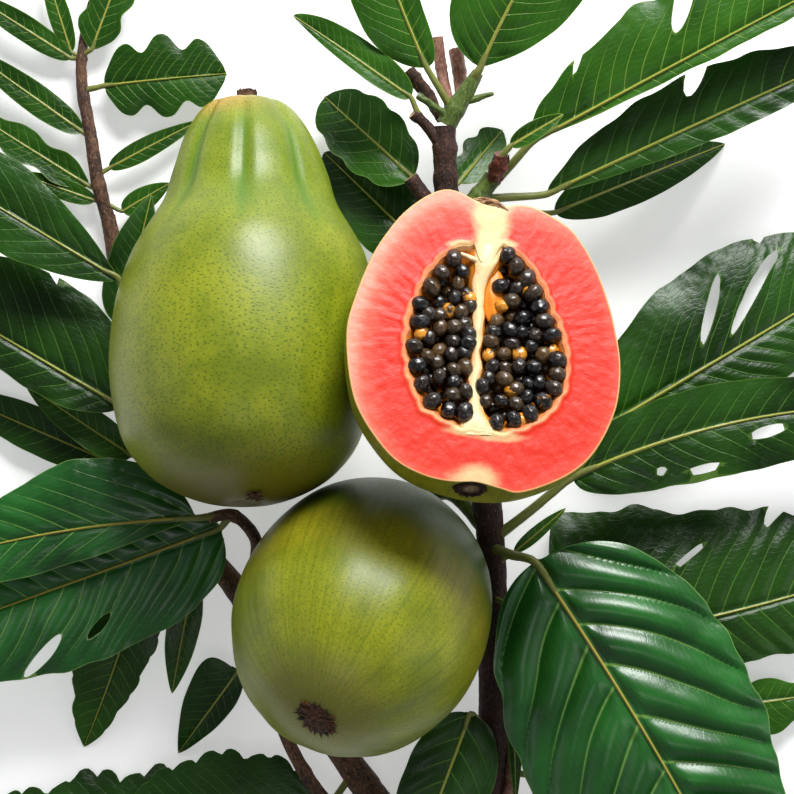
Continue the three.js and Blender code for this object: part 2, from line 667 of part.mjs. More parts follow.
// Whole fruit on the left, lying on the floor
const wholeFruit = new THREE.Group();
wholeFruit.position.copy(wholeFruitMiddle);
wholeFruit.rotation.x = wholeFruitTilt;
const wholeFruitSolid = (extra) =>
  fruitSolid(wholeFruitRightOutline, wholeFruitLeftOutline, 22, 15, extra).translate([0, -bellyHeight, 0]);
const stubShape = new THREE.CylinderGeometry(4.4, 4.8, 13, 8).translate(0, wholeFruitLength - bellyHeight, 0);
const stub = toSolid(stubShape).subtract(wholeFruitSolid(clearance));
const wholeTuft = tuftSolid(wholeScarRadius, tuftHeight, 7)
  .rotate([-20, 0, 0])
  .translate([7, -bellyHeight + 1.5, 16])
  .subtract(wholeFruitSolid(clearance));
wholeFruit.add(
  piece("whole_fruit", wholeFruitSolid(0), fruitGreen),
  piece("whole_fruit_stub", stub, scarBrown),
  piece("whole_fruit_scar", wholeTuft, scarBrown),
);
branch.add(wholeFruit);

// Lower fruit, with its blossom end towards the lower left and up
const lowerFruit = new THREE.Group();
lowerFruit.quaternion.setFromUnitVectors(new THREE.Vector3(0, -1, 0), lowerFruitPoint);
lowerFruit.position.copy(lowerFruitMiddle);
const lowerFruitSolid = (extra) =>
  fruitSolid(lowerFruitOutline, lowerFruitOutline, 22, 14, extra).translate([0, -lowerFruitLength / 2, 0]);
const lowerTuft = tuftSolid(lowerScarRadius, tuftHeight, 10)
  .translate([0, -lowerFruitLength / 2 - 0.4, 0])
  .subtract(lowerFruitSolid(clearance));
lowerFruit.add(
  piece("lower_fruit", lowerFruitSolid(0), fruitGreen),
  piece("lower_fruit_scar", lowerTuft, scarBrown),
);
branch.add(lowerFruit);

// Cut half with its seeds
const halfFruit = new THREE.Group();
halfFruit.position.copy(halfFruitMiddle);
halfFruit.rotation.copy(halfFruitTilt);
const halfScar = toSolid(new THREE.CylinderGeometry(halfScarRadius, halfScarRadius - 1, tuftHeight, 12))
  .rotate([0, 0, THREE.MathUtils.radToDeg(halfFruitSlant)])
  .translate([halfFruitFoot.x, halfFruitFoot.y - 1.5, -cutAheadOfAxis])
  .subtract(halfFruitBody(clearance))
  .subtract(boxSolid([200, 200, 100], [0, 0, 50]));
halfFruit.add(
  piece("half_fruit", halfFruitSolid(), fleshRed),
  piece("half_fruit_scar", halfScar, scarBrown),
);
halfFruit.add(piece("seeds_left", seedSolid(-1), seedBlack), piece("seeds_right", seedSolid(1), seedBlack));
branch.add(halfFruit);

const fruitAtLimb = {
  half_fruit_stalk: placed(halfFruitBody(clearance), halfFruit),
  lower_fruit_stalk: placed(lowerFruitSolid(clearance), lowerFruit),
};

for (const [name, points] of Object.entries(limbs)) {
  let solid = limbSolid(points, ...limbDetail[name]);
  for (const side of sideStubs[name] ?? []) {
    solid = solid.add(limbSolid(side, ...sideStubDetail));
  }
  if (limbCarrier[name]) {
    solid = solid.subtract(swollen(limbCarrier[name]));
  }
  if (fruitAtLimb[name]) {
    solid = solid.subtract(fruitAtLimb[name]);
  }
  branch.add(piece(name, solid, limbFinish[name]));
}

for (const [name, twig] of Object.entries(twigs)) {
  const solid = limbSolid(twig.points, ...twigDetail).subtract(swollen(twig.on)).subtract(swollen("main_stem"));
  branch.add(piece(name, solid, limbFinish[name]));
}

for (const [name, leaf] of Object.entries(leaves)) {
  let solid = leafSolid(leaf).subtract(swollen(leaf.on));
  if (leaf.clearOf) {
    solid = solid.subtract(swollen(leaf.clearOf));
  }
  branch.add(piece(name, solid, leaf.tone));
}

let spray = limbSolid(sprayTwig, 7, 9);
for (const leaf of sprayLeaves) {
  spray = spray.add(leafSolid({ ...leaf, small: true }));
}
branch.add(piece("far_left_spray", spray.subtract(swollen("left_bough")), leafGreen));

export default branch;
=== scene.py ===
import math
import random

import bmesh
import bpy
import numpy as np
from mathutils import Euler, Matrix, Quaternion, Vector, noise


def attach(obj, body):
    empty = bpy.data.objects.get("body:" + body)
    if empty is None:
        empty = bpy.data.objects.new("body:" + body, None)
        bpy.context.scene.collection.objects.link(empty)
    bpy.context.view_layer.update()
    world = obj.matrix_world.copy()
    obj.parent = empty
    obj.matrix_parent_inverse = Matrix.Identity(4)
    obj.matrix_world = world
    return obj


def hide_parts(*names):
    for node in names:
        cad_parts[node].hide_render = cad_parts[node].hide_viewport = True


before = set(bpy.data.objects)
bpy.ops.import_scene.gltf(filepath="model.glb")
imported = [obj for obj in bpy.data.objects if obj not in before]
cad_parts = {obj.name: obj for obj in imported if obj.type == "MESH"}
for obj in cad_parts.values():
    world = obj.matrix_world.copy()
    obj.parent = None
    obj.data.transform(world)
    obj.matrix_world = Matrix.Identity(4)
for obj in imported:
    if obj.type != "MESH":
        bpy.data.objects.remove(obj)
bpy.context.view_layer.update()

centring = Vector((-6.97, 10.54, 0))
millimetre = 0.001
upward = Vector((0, 0, 1))


def linear(code):
    values = [int(code[i:i + 2], 16) / 255 for i in (1, 3, 5)]
    return [v / 12.92 if v <= 0.04045 else ((v + 0.055) / 1.055) ** 2.4 for v in values] + [1]


def feed(tree, socket, value):
    # sets a socket or links it; a node stands for its first output in use, text for a colour
    if isinstance(value, bpy.types.Node):
        value = next(output for output in value.outputs if output.enabled)
    if isinstance(value, bpy.types.NodeSocket):
        tree.links.new(value, socket)
    elif value is not None:
        socket.default_value = linear(value) if isinstance(value, str) else value


def addNode(tree, kind, *values, **settings):
    # values fill the sockets in order; settings are properties of the node or sockets by name
    node = tree.nodes.new("ShaderNode" + kind)
    for key, value in settings.items():
        if key in node.inputs:
            feed(tree, node.inputs[key], value)
        else:
            setattr(node, key, value)
    for place, value in enumerate(values):
        feed(tree, node.inputs[place], value)
    return node


def calc(tree, operation, *values, **settings):
    return addNode(tree, "Math", *values, operation=operation, **settings)


def remap(tree, value, low, high, start=0.0, end=1.0, soft=False):
    easing = "SMOOTHSTEP" if soft else "LINEAR"
    return addNode(tree, "MapRange", value, low, high, start, end, interpolation_type=easing)


def blend(tree, share, first, second):
    # colours mixed by share; sockets 6 and 7 are the colour ones
    node = addNode(tree, "Mix", share, data_type="RGBA")
    feed(tree, node.inputs[6], first)
    feed(tree, node.inputs[7], second)
    return node


def grainOver(tree, spot, scale, detail, roughness=0.5):
    return addNode(tree, "TexNoise", Vector=spot, Scale=scale, Detail=detail, Roughness=roughness)


def layerVector(tree, name):
    return addNode(tree, "Attribute", attribute_name=name).outputs["Vector"]


def partsOf(tree, vector):
    return tuple(addNode(tree, "SeparateXYZ", vector).outputs)


def paint(tree, shader, colour, height, strength, distance):
    # links the colour, and a relief whose depth is in metres
    feed(tree, shader.inputs["Base Color"], colour)
    bump = addNode(tree, "Bump", Strength=strength, Distance=distance, Height=height)
    feed(tree, shader.inputs["Normal"], bump)


def newMaterial(name, roughness, ior, coat=0.0):
    material = bpy.data.materials.new(name)
    material.use_nodes = True
    shader = material.node_tree.nodes["Principled BSDF"]
    shader.inputs["Roughness"].default_value = roughness
    shader.inputs["IOR"].default_value = ior
    shader.inputs["Coat Weight"].default_value = coat
    shader.inputs["Coat Roughness"].default_value = 0.2
    return material, material.node_tree, shader


def smooth(low, high, value):
    t = min(max((value - low) / (high - low), 0), 1)
    return t * t * (3 - 2 * t)


def alongPath(points, t):
    # the smooth curve through the places of a limb, the same one as the solid's
    last = len(points) - 1
    place = min(max(t, 0), 1) * last
    first = min(int(place), last - 1)
    w = place - first
    p1, p2 = Vector(points[first][:3]), Vector(points[first + 1][:3])
    p0 = Vector(points[first - 1][:3]) if first > 0 else 2 * p1 - p2
    p3 = Vector(points[first + 2][:3]) if first + 2 <= last else 2 * p2 - p1
    d0, d1, d2 = [max((b - a).length, 1e-4) ** 0.5 for a, b in ((p0, p1), (p1, p2), (p2, p3))]
    t1 = ((p1 - p0) / d0 - (p2 - p0) / (d0 + d1) + (p2 - p1) / d1) * d1
    t2 = ((p2 - p1) / d1 - (p3 - p1) / (d1 + d2) + (p3 - p2) / d2) * d1
    cubic = 2 * p1 - 2 * p2 + t1 + t2
    square = -3 * p1 + 3 * p2 - 2 * t1 - t2
    return p1 + t1 * w + square * w ** 2 + cubic * w ** 3


def radiusAlong(points, t):
    place = min(max(t, 0), 1) * (len(points) - 1)
    first = min(int(place), len(points) - 2)
    return points[first][3] + (points[first + 1][3] - points[first][3]) * (place - first)


def toFrame(spot):
    return (spot + centring) * millimetre


def addPoints(kind, **settings):
    # a primitive with nothing else selected, returned as the object that it made
    bpy.ops.object.select_all(action="DESELECT")
    getattr(bpy.ops.mesh, "primitive_" + kind + "_add")(**settings)
    return bpy.context.object


def cutFiner(piece, cuts, lengthwise=False):
    # cuts every edge of a fresh primitive, or only those that run along its own z
    bpy.ops.object.mode_set(mode="EDIT")
    bpy.ops.mesh.select_all(action="DESELECT" if lengthwise else "SELECT")
    if lengthwise:
        edit = bmesh.from_edit_mesh(piece.data)
        for edge in edit.edges:
            edge.select_set(abs(edge.verts[0].co.z - edge.verts[1].co.z) > 0.5)
        bmesh.update_edit_mesh(piece.data)
    bpy.ops.mesh.subdivide(number_cuts=cuts)
    bpy.ops.object.mode_set(mode="OBJECT")


def addTube(name, points, sides, rings, relief=0.0, grain=3.0, knots=()):
    # a cylinder cut into rings, bent along a path, with bark relief and swellings at its nodes
    tube = addPoints("cylinder", vertices=sides, radius=1, depth=1, end_fill_type="TRIFAN")
    tube.name = name
    cutFiner(tube, rings - 1, lengthwise=True)
    spots = [alongPath(points, i / rings) for i in range(rings + 1)]
    lengths = [0.0]
    for a, b in zip(spots, spots[1:]):
        lengths.append(lengths[-1] + (b - a).length)
    bark = tube.data.attributes.new("barkSpot", "FLOAT_VECTOR", "POINT")
    for vertex in tube.data.vertices:
        ring = min(max(round((vertex.co.z + 0.5) * rings), 0), rings)
        t = ring / rings
        ahead = (spots[min(ring + 1, rings)] - spots[max(ring - 1, 0)]).normalized()
        side = ahead.cross(upward).normalized()
        other = ahead.cross(side)
        radius = radiusAlong(points, t)
        swell = sum(high * math.exp(-((t - at) / wide) ** 2) for at, wide, high in knots)
        unrolled = Vector((vertex.co.x * radius, vertex.co.y * radius, lengths[ring] / grain))
        rough = relief * noise.fractal(unrolled * 0.7, 0.6, 2.2, 4) if relief else 0
        reach = radius + rough + swell
        bark.data[vertex.index].vector = unrolled * millimetre
        if math.hypot(vertex.co.x, vertex.co.y) < 0.5:
            reach = 0
        vertex.co = toFrame(spots[ring] + (side * vertex.co.x + other * vertex.co.y) * reach)
    return tube


def joinPieces(parts, name, skin=None):
    # one object out of many; a skin given here covers all of it
    bpy.ops.object.select_all(action="DESELECT")
    for part in parts:
        part.select_set(True)
    bpy.context.view_layer.objects.active = parts[0]
    if len(parts) > 1:
        bpy.ops.object.join()
    whole = bpy.context.object
    whole.name = name
    if skin:
        whole.data.materials.clear()
        whole.data.materials.append(skin)
    return whole


def finishPiece(piece, nodes, angle=math.radians(50)):
    bpy.ops.object.select_all(action="DESELECT")
    piece.select_set(True)
    bpy.context.view_layer.objects.active = piece
    bpy.ops.object.transform_apply(location=True, rotation=True, scale=True)
    bpy.ops.object.shade_smooth_by_angle(angle=angle)
    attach(piece, "root")
    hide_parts(*nodes)
    return piece


# The camera looks straight down on the branch from a metre above the floor.
cameraPlace = Vector((0, 0, 1000))
sensorWidth = 36
pixelsAcross = 794
focalPixels = 2142.86  # the picture is 0.37 m wide at the floor

bpy.ops.object.camera_add(location=toFrame(cameraPlace), rotation=(0, 0, 0))
camera = bpy.context.object
camera.data.sensor_width = sensorWidth
camera.data.lens = focalPixels / pixelsAcross * sensorWidth
camera.data.clip_start = 0.01
bpy.context.scene.camera = camera

lights = {
    # name: where it stands in metres, its width and height in metres, and its watts
    "keySoftbox": {"place": (0.28, 1.15, 0.82), "size": (0.7, 0.45), "power": 33},
    "leftSoftbox": {"place": (-1.35, 0.1, 0.62), "size": (0.5, 1.1), "power": 1.4},
    "rightFill": {"place": (1.35, -0.35, 0.8), "size": (0.6, 1.1), "power": 3},
    "topGlow": {"place": (0.0, -0.48, 1.45), "size": (0.5, 0.35), "power": 1.2},
}
for name, light in lights.items():
    place = Vector(light["place"])
    bpy.ops.object.light_add(type="AREA", location=place)
    lamp = bpy.context.object
    lamp.name = name
    lamp.data.shape = "RECTANGLE"
    lamp.data.size, lamp.data.size_y = light["size"]
    lamp.data.energy = light["power"]
    lamp.rotation_euler = (-place).to_track_quat("-Z", "Y").to_euler()

# A pale studio: walls bright near the floor, and dim overhead so that flat leaves stay deep green.
studio = {"wall": "#f4f6f8", "wallStrength": 0.36, "overheadStrength": 0.2}
world = bpy.data.worlds.new("paleStudio")
bpy.context.scene.world = world
world.use_nodes = True
tree = world.node_tree
background = tree.nodes["Background"]
background.inputs["Color"].default_value = linear(studio["wall"])
direction = addNode(tree, "TexCoord").outputs["Generated"]
rise = partsOf(tree, direction)[2]
walls = remap(tree, rise, 0.35, 0.85, studio["wallStrength"], studio["overheadStrength"], soft=True)
feed(tree, background.inputs["Strength"], walls)
bpy.context.scene.view_settings.view_transform = "Standard"
bpy.context.scene.view_settings.look = "None"

floor = addPoints("plane", size=6)
floor.name = "floor"
# matte white paper with a weak glow of its own, as on a light table: painted light that keeps the
# shadows under the leaves pale
glowingFloorPaper, tree, shader = newMaterial("glowingStudioPaper", 0.9, 1.4)
paperGrain = grainOver(tree, addNode(tree, "TexCoord").outputs["Object"], 700.0, 3.0)
paperTone = blend(tree, paperGrain, "#e6e6e6", "#eeeeee")
feed(tree, shader.inputs["Base Color"], paperTone)
# painted light: the floor glows by itself and lifts the shadows round the branch
shader.inputs["Emission Color"].default_value = linear("#f6f6f6")
shader.inputs["Emission Strength"].default_value = 0.45
floor.data.materials.append(glowingFloorPaper)
print("camera, light and floor are in place")

# Waxy living leaves: a glossy cuticle over green, veins sunk in the upper side, paler below.
leafFinishes = {
    "glossy": {
        "dark": "#09380d", "light": "#206c22", "vein": "#6a9440", "rib": "#a99a45", "ior": 1.52,
        "edge": "#7d9c50", "under": "#4f7d3c", "roughness": 0.29, "veinShare": 0.75, "relief": 0.22,
    },
    "deep": {
        "dark": "#0d2604", "light": "#25500f", "vein": "#4f7a26", "rib": "#9a9c45", "ior": 1.34,
        "edge": "#56782e", "under": "#46752f", "roughness": 0.32, "veinShare": 0.7, "relief": 0.4,
    },
    "fresh": {
        "dark": "#143a02", "light": "#2f620b", "vein": "#7a9a38", "rib": "#9a9a45", "ior": 1.36,
        "edge": "#6d8f32", "under": "#67953c", "roughness": 0.34, "veinShare": 0.6, "relief": 0.45,
    },
}


def leafMaterials(kind, look):
    top, tree, shader = newMaterial(kind + "LeafUpperSide", look["roughness"], look["ior"])
    phase, across, reach = partsOf(tree, layerVector(tree, "bladeSpot"))
    ribGap, edgeGap, tone = partsOf(tree, layerVector(tree, "bladeGaps"))
    coords = addNode(tree, "TexCoord").outputs["Object"]
    # side veins stand where the phase is whole, and thin out towards the margin
    toVein = calc(tree, "PINGPONG", phase, 0.5)
    outward = calc(tree, "ABSOLUTE", across)
    veinWidth = remap(tree, outward, 0.0, 1.0, 0.045, 0.016)
    narrow = calc(tree, "DIVIDE", toVein, veinWidth)
    veinLine = remap(tree, narrow, 0.35, 1.3, 1.0, 0.0, soft=True)
    fade = remap(tree, outward, 0.6, 0.95, 1.0, 0.1, soft=True)
    sideVein = calc(tree, "MULTIPLY", veinLine, fade)
    # the ladder of tiny veins that joins them, a rung every 2.4 mm, bent by a slow noise
    drift = grainOver(tree, coords, 70.0, 3.0)
    step = calc(tree, "MULTIPLY_ADD", reach, 0.42, drift)
    driftWide = calc(tree, "MULTIPLY_ADD", drift, 3.0, step)
    panel = calc(tree, "FLOOR", phase)
    shifted = calc(tree, "MULTIPLY_ADD", panel, 0.37, driftWide)
    toRung = calc(tree, "PINGPONG", shifted, 0.5)
    rung = remap(tree, toRung, 0.0, 0.14, 1.0, 0.0, soft=True)
    mottle = grainOver(tree, coords, 34.0, 5.0)
    body = remap(tree, mottle, 0.3, 0.7, 0.05, 0.85)
    toned = calc(tree, "ADD", body, tone, use_clamp=True)
    green = blend(tree, toned, look["dark"], look["light"])
    rungShare = calc(tree, "MULTIPLY", rung, 0.07)
    netted = blend(tree, rungShare, green, look["vein"])
    veinShare = calc(tree, "MULTIPLY", sideVein, look["veinShare"])
    veined = blend(tree, veinShare, netted, look["vein"])
    ribShare = remap(tree, ribGap, 0.7, 1.3, 0.95, 0.0, soft=True)
    ribbed = blend(tree, ribShare, veined, look["rib"])
    edgeShare = remap(tree, edgeGap, 0.1, 0.5, 0.6, 0.0)
    edged = blend(tree, edgeShare, ribbed, look["edge"])
    # grooves over the veins, the rungs and a fine grain, all well under a millimetre deep
    grain = grainOver(tree, coords, 300.0, 3.0)
    rungDepth = calc(tree, "MULTIPLY_ADD", rung, -0.22, grain)
    depth = calc(tree, "MULTIPLY_ADD", sideVein, -1.2, rungDepth)
    paint(tree, shader, edged, depth, look["relief"], 0.0004)
    wax = remap(tree, mottle, 0.0, 1.0, look["roughness"] - 0.05, look["roughness"] + 0.09)
    feed(tree, shader.inputs["Roughness"], wax)

    under, tree, shader = newMaterial(kind + "LeafUnderSide", 0.6, 1.4)
    coords = addNode(tree, "TexCoord").outputs["Object"]
    mottle = grainOver(tree, coords, 150.0, 4.0)
    share = remap(tree, mottle, 0.0, 1.0, 0.0, 0.4)
    pale = blend(tree, share, look["under"], look["rib"])
    paint(tree, shader, pale, mottle, 0.4, 0.0003)
    return top, under


def stalkMaterial():
    # leaf stalks: smooth living skin, olive to straw yellow, faintly ribbed along
    material, tree, shader = newMaterial("ribbedLeafStalk", 0.45, 1.45)
    streaks = grainOver(tree, layerVector(tree, "barkSpot"), 900.0, 3.0)
    colour = blend(tree, streaks, "#4d5c22", "#8a8a46")
    paint(tree, shader, colour, streaks, 0.5, 0.0003)
    return material


leafSkins = {kind: leafMaterials(kind, look) for kind, look in leafFinishes.items()}
stalkSkin = stalkMaterial()

# Blade shape, as in the solids, then the finer relief that the solids leave out.
blade = {
    "fold": 0.12, "droop": 0.006, "arch": 0.04,
    "thickness": 0.5, "rowGap": 1.4, "columnGap": 2.4, "crease": 0.75,
    "quilt": 0.11, "wave": 2.2, "ruffle": 0.025, "veinLean": 0.6, "veinBend": 0.45, "veinPitch": 9,
    "veinUneven": 0.35, "veinOffset": 0.4, "ribHeight": 0.8, "ribTaper": 0.68,
    "gutterDepth": 0.8, "gutterPlace": 2.2, "gutterWidth": 1.6, "cutHalvings": 24,
}

# root is where the stalk starts, base and tip are the ends of the blade. left and right are its
# sides as widest, roundness of the foot and of the tip. cuts are holes and notches.
leaves = {
    "crown_leaf_left": {
        "root": (11, 122, 47), "base": (6, 133, 50), "tip": (-46, 169, 50),
        "left": (5.2, 0.4, 0.8), "right": (9.2, 0.4, 0.55), "stalk": 1.3, "finish": "fresh",
        "veins": 17, "relief": 1.2,
    },
    "crown_leaf_middle": {
        "root": (25, 127, 45), "base": (13, 146, 52), "tip": (-15, 224, 58),
        "left": (20, 0.6, 0.9), "right": (9, 0.35, 0.6), "stalk": 1.6, "finish": "fresh", "bow": 2,
        "veins": 14, "relief": 1.4, "tone": 0.1,
    },
    "crown_leaf_right": {
        "root": (34, 141, 48.5), "base": (37, 146, 52), "tip": (76, 215, 62),
        "left": (24.5, 0.45, 1), "right": (27, 0.9, 0.6), "stalk": 2, "finish": "fresh", "bow": 2,
        "veins": 13, "relief": 1.5, "veinLean": 0.4, "tone": 0.1,
    },
    "upper_left_leaf": {
        "root": (12, 91, 43), "base": (7, 99, 33), "tip": (-33, 138, 12),
        "left": (17.2, 0.38, 0.4), "right": (17, 0.5, 0.5), "stalk": 1.6, "finish": "fresh",
        "lobes": 4, "lobeDepth": 0.1,
        "veins": 8,
    },
    "left_back_leaf": {
        "root": (25, 57, 37), "base": (17, 62, 26), "tip": (-34, 114, 0.5),
        "left": (18, 0.45, 0.7), "right": (17, 0.45, 0.7), "stalk": 1.6, "finish": "deep",
    },
    "upper_back_leaf": {
        "root": (22, 92, 41), "base": (28, 97, 32), "tip": (48, 122, 18),
        "left": (10, 0.45, 0.5), "right": (8.5, 0.45, 0.5), "stalk": 1.4, "finish": "fresh",
        "lobes": 3, "lobeDepth": 0.25,
    },
    "rolled_leaf": {
        "root": (46, 106, 55), "base": (50, 110.5, 57.5), "tip": (73, 124, 60),
        "left": (4.5, 0.5, 0.8), "right": (4, 0.5, 0.8), "stalk": 1.5, "finish": "fresh", "fold": 0.5,
    },
    "upper_right_leaf": {
        "root": (43, 95, 45.5), "base": (60, 113, 51), "tip": (207, 190, 66),
        "left": (32, 0.6, 0.5), "right": (6, 0.9, 0.5), "stalk": 1.9, "finish": "fresh",
        "cuts": [(0.21, 1, 0.25, 2, 1), (0.53, 0.8, 0.42, 5.5, 0.8)],
        "veins": 20, "relief": 0.9, "ruffle": 2.5, "tone": 0.1,
    },
    "right_leaf": {
        "root": (35, 88, 44), "base": (67, 91, 39), "tip": (205, 154, 44),
        "left": (22, 0.8, 0.8), "right": (9.8, 0.9, 0.6), "stalk": 1.9, "finish": "deep",
        "cuts": [(0.54, 0.95, 0.38, 5, 0.8)],
        "veins": 14, "relief": 1.2, "ruffle": 2,
    },
    "right_back_leaf": {
        "root": (29, 83, 42), "base": (72, 84, 25), "tip": (153, 118, 0.71),
        "left": (12, 0.5, 0.8), "right": (11, 0.5, 0.8), "stalk": 1.5, "finish": "deep",
    },
    "middle_right_leaf": {
        "root": (37, -33, 31), "base": (91, -16, 20), "tip": (220, 60, 1.1),
        "left": (43.5, 0.6, 0.5), "right": (24, 0.45, 0.6), "stalk": 2.2, "finish": "deep",
        "cuts": [(0.49, 0.5, 0.28, 3.6, 1), (0.647, 0.48, 0.33, 5, 1.5), (0.746, 1, 0.1, 2.5, 1)],
        "veins": 17, "relief": 1.5, "veinLean": 0.9,
    },
    "lower_right_leaf": {
        "root": (42, -66, 27.5), "base": (79, -36, 36), "tip": (220, -4, 30),
        "left": (19, 0.3, 0.45), "right": (23, 0.45, 0.4), "stalk": 2.2, "finish": "deep", "bow": 8,
        "cuts": [(0.27, -0.62, 0.1, 2.6, 0), (0.4, -0.76, 0.09, 9, 0), (0.62, -0.3, 0.12, 8.5, -1)],
        "veins": 16, "relief": 1.5, "veinLean": 0.8,
    },
    "big_front_leaf": {
        "root": (42, -68, 27), "base": (61, -73, 53), "tip": (158, -238, 50),
        "left": (53.5, 0.35, 0.57), "right": (57, 0.5, 0.45), "stalk": 2.2, "finish": "glossy",
        "bow": 4, "roll": 4,
        "veins": 9, "relief": 1.8, "rib": 0.4, "fine": 2, "crease": 0.95,
    },
    "right_behind_leaf": {
        "root": (43, -100, 23.5), "base": (79, -113, 20), "tip": (236, -76, 1.12),
        "left": (57, 0.14, 0.65), "right": (24.7, 0.5, 0.45), "stalk": 2, "finish": "deep", "bow": -3,
        "cuts": [(0.383, 0.56, 0.12, 2.6, 1.5), (0.67, 1, 0.2, 3, 1)],
        "veins": 15, "relief": 1.3, "ruffle": 2.5,
    },
    "small_side_leaf": {
        "root": (42, -78, 26), "base": (53, -70, 33), "tip": (76, -50, 35),
        "left": (3.5, 0.5, 0.8), "right": (3, 0.5, 0.8), "stalk": 1.1, "finish": "fresh",
    },
    "lower_edge_leaf": {
        "root": (53, -150, 18), "base": (132, -146, 8), "tip": (211, -136, 0.9),
        "left": (11, 0.45, 0.6), "right": (16, 0.45, 0.6), "stalk": 1.4, "finish": "fresh",
        "lobes": 3, "lobeDepth": 0.3,
    },
    "lowest_right_leaf": {
        "root": (52, -172, 17.5), "base": (113, -184, 7), "tip": (211, -210, 0.9),
        "left": (14, 0.45, 0.7), "right": (15, 0.45, 0.7), "stalk": 1.4, "finish": "deep",
    },
    "bottom_leaf": {
        "root": (43, -153, 17.5), "base": (33, -143, 33), "tip": (0, -231, 29),
        "left": (22, 0.4, 0.7), "right": (19, 0.4, 0.7), "stalk": 1.6, "finish": "deep",
        "veins": 9, "relief": 1.2,
    },
    "narrow_leaf": {
        "root": (42, -90, 25), "base": (51, -94, 36), "tip": (54, -184, 27),
        "left": (5, 0.5, 0.8), "right": (4, 0.5, 0.8), "stalk": 1.2, "finish": "deep",
    },
    "bottom_left_leaf": {
        "root": (-20, -173, 10.5), "base": (-37, -196, 17), "tip": (-126, -198, 11),
        "left": (18, 0.45, 0.6), "right": (36, 0.35, 0.5), "stalk": 1.6, "finish": "deep",
        "lobes": 3, "lobeDepth": 0.08,
        "teeth": (8, 0.1), "relief": 1.2,
    },
    "bottom_far_leaf": {
        "root": (3, -201, 11), "base": (-52, -221, 3), "tip": (-200, -214, 3),
        "left": (18, 0.45, 0.6), "right": (47, 0.35, 0.45), "stalk": 1.6, "finish": "deep",
        "lobes": 4, "lobeDepth": 0.12,
        "teeth": (13, 0.1), "relief": 1.3,
    },
    "hanging_leaf": {
        "root": (-100, -62, 7.5), "base": (-116, -77, 12), "tip": (-146, -163, 0.64),
        "left": (16.5, 0.2, 0.64), "right": (19.8, 0.9, 0.9), "stalk": 1.4, "finish": "fresh",
        "bow": 2, "lobes": 4, "lobeDepth": 0.1,
        "teeth": (9, 0.07),
    },
    "hanging_lobe": {
        "root": (-90, -70, 7.8), "base": (-94, -86, 15), "tip": (-104, -137, 9),
        "left": (7.5, 0.4, 0.8), "right": (8, 0.4, 0.8), "stalk": 1.2, "finish": "fresh",
    },
    "low_narrow_leaf": {
        "root": (-62, -109, 8.4), "base": (-73, -126, 13), "tip": (-102, -166, 0.5),
        "left": (8, 0.4, 0.8), "right": (15.9, 0.2, 0.9), "stalk": 1.2, "finish": "deep",
    },
    "left_front_leaf": {
        "root": (-79, -53, 39.5), "base": (-90, -54, 44), "tip": (-213, -75, 42),
        "left": (17, 1, 0.5), "right": (31, 0.6, 1.2), "stalk": 1.7, "finish": "glossy",
        "bow": -4, "roll": 3,
        "veins": 9, "relief": 1.3, "veinLean": 1.5,
    },
    "left_holed_leaf": {
        "root": (-75, -53.5, 38.5), "base": (-79.5, -59, 36), "tip": (-219, -110, 28),
        "left": (37, 0.36, 0.4), "right": (18, 0.45, 0.6), "stalk": 1.7, "finish": "glossy",
        "cuts": [(0.442, 0.61, 0.11, 4, 1.4), (0.638, 0.76, 0.22, 4.6, 1.4)],
        "veins": 13, "relief": 1.2, "veinLean": 0.7, "fine": 2,
    },
    "left_side_leaf": {
        "root": (-120, -6, 6), "base": (-126, -4, 22), "tip": (-222, 52, 15),
        "left": (14.5, 0.6, 1.2), "right": (36.5, 0.5, 0.55), "stalk": 1.7, "finish": "deep",
        "cuts": [(0.51, -1, 0.12, 2.5, 1.5)],
        "veins": 12, "relief": 1.4, "veinLean": 0.9, "tone": -0.1,
    },
    "left_under_leaf": {
        "root": (-118, -20, 6.3), "base": (-122, -27, 12), "tip": (-172, 6, 8),
        "left": (9, 0.45, 0.8), "right": (9, 0.45, 0.8), "stalk": 1.3, "finish": "fresh",
    },
    "left_upper_leaf": {
        "root": (-122, 10, 6), "base": (-125, 53, 36), "tip": (-213, 106, 40),
        "left": (17.5, 0.7, 0.45), "right": (21.5, 1, 0.5), "stalk": 1.5, "finish": "deep",
        "veins": 11, "relief": 1.3, "veinLean": 1.2,
    },
    "left_low_leaf": {
        "root": (-107, -46, 7), "base": (-126, -33, 5), "tip": (-212, 4, 0.62),
        "left": (11, 0.45, 0.7), "right": (11, 0.45, 0.7), "stalk": 1.4, "finish": "deep",
    },
    "behind_fruit_leaf": {
        "root": (-126, 25, 5.5), "base": (-126, 33, 15), "tip": (-113, 93, 14),
        "left": (13, 0.45, 0.8), "right": (9, 0.45, 0.8), "stalk": 1.4, "finish": "deep",
    },
}


def leafAxes(leaf):
    base, tip = Vector(leaf["base"]), Vector(leaf["tip"])
    along = (tip - base).normalized()
    left = upward.cross(along).normalized()
    above = along.cross(left)
    roll = Quaternion(along, math.radians(leaf.get("roll", 0)))
    return {
        "base": base, "tip": tip, "left": roll @ left, "above": roll @ above,
        "length": (tip - base).length,
    }


def halfWidth(leaf, t, across, least=0.5):
    widest, foot, taper = leaf["left"] if across > 0 else leaf["right"]
    peak = foot / (foot + taper)
    inside = min(max(t, 0), 1)
    rise = (inside / peak) ** foot * ((1 - inside) / (1 - peak)) ** taper
    lobe = abs(math.cos(math.pi * leaf.get("lobes", 0) * t)) ** 3
    lobed = 1 - leaf.get("lobeDepth", 0.3) * lobe if leaf.get("lobes") else 1
    count, depth = leaf.get("teeth", (0, 0))
    toothed = 1 - depth * (1 - abs(math.sin(math.pi * count * t + 0.4))) ** 1.6 if count else 1
    return max(widest * rise * lobed * toothed, least)


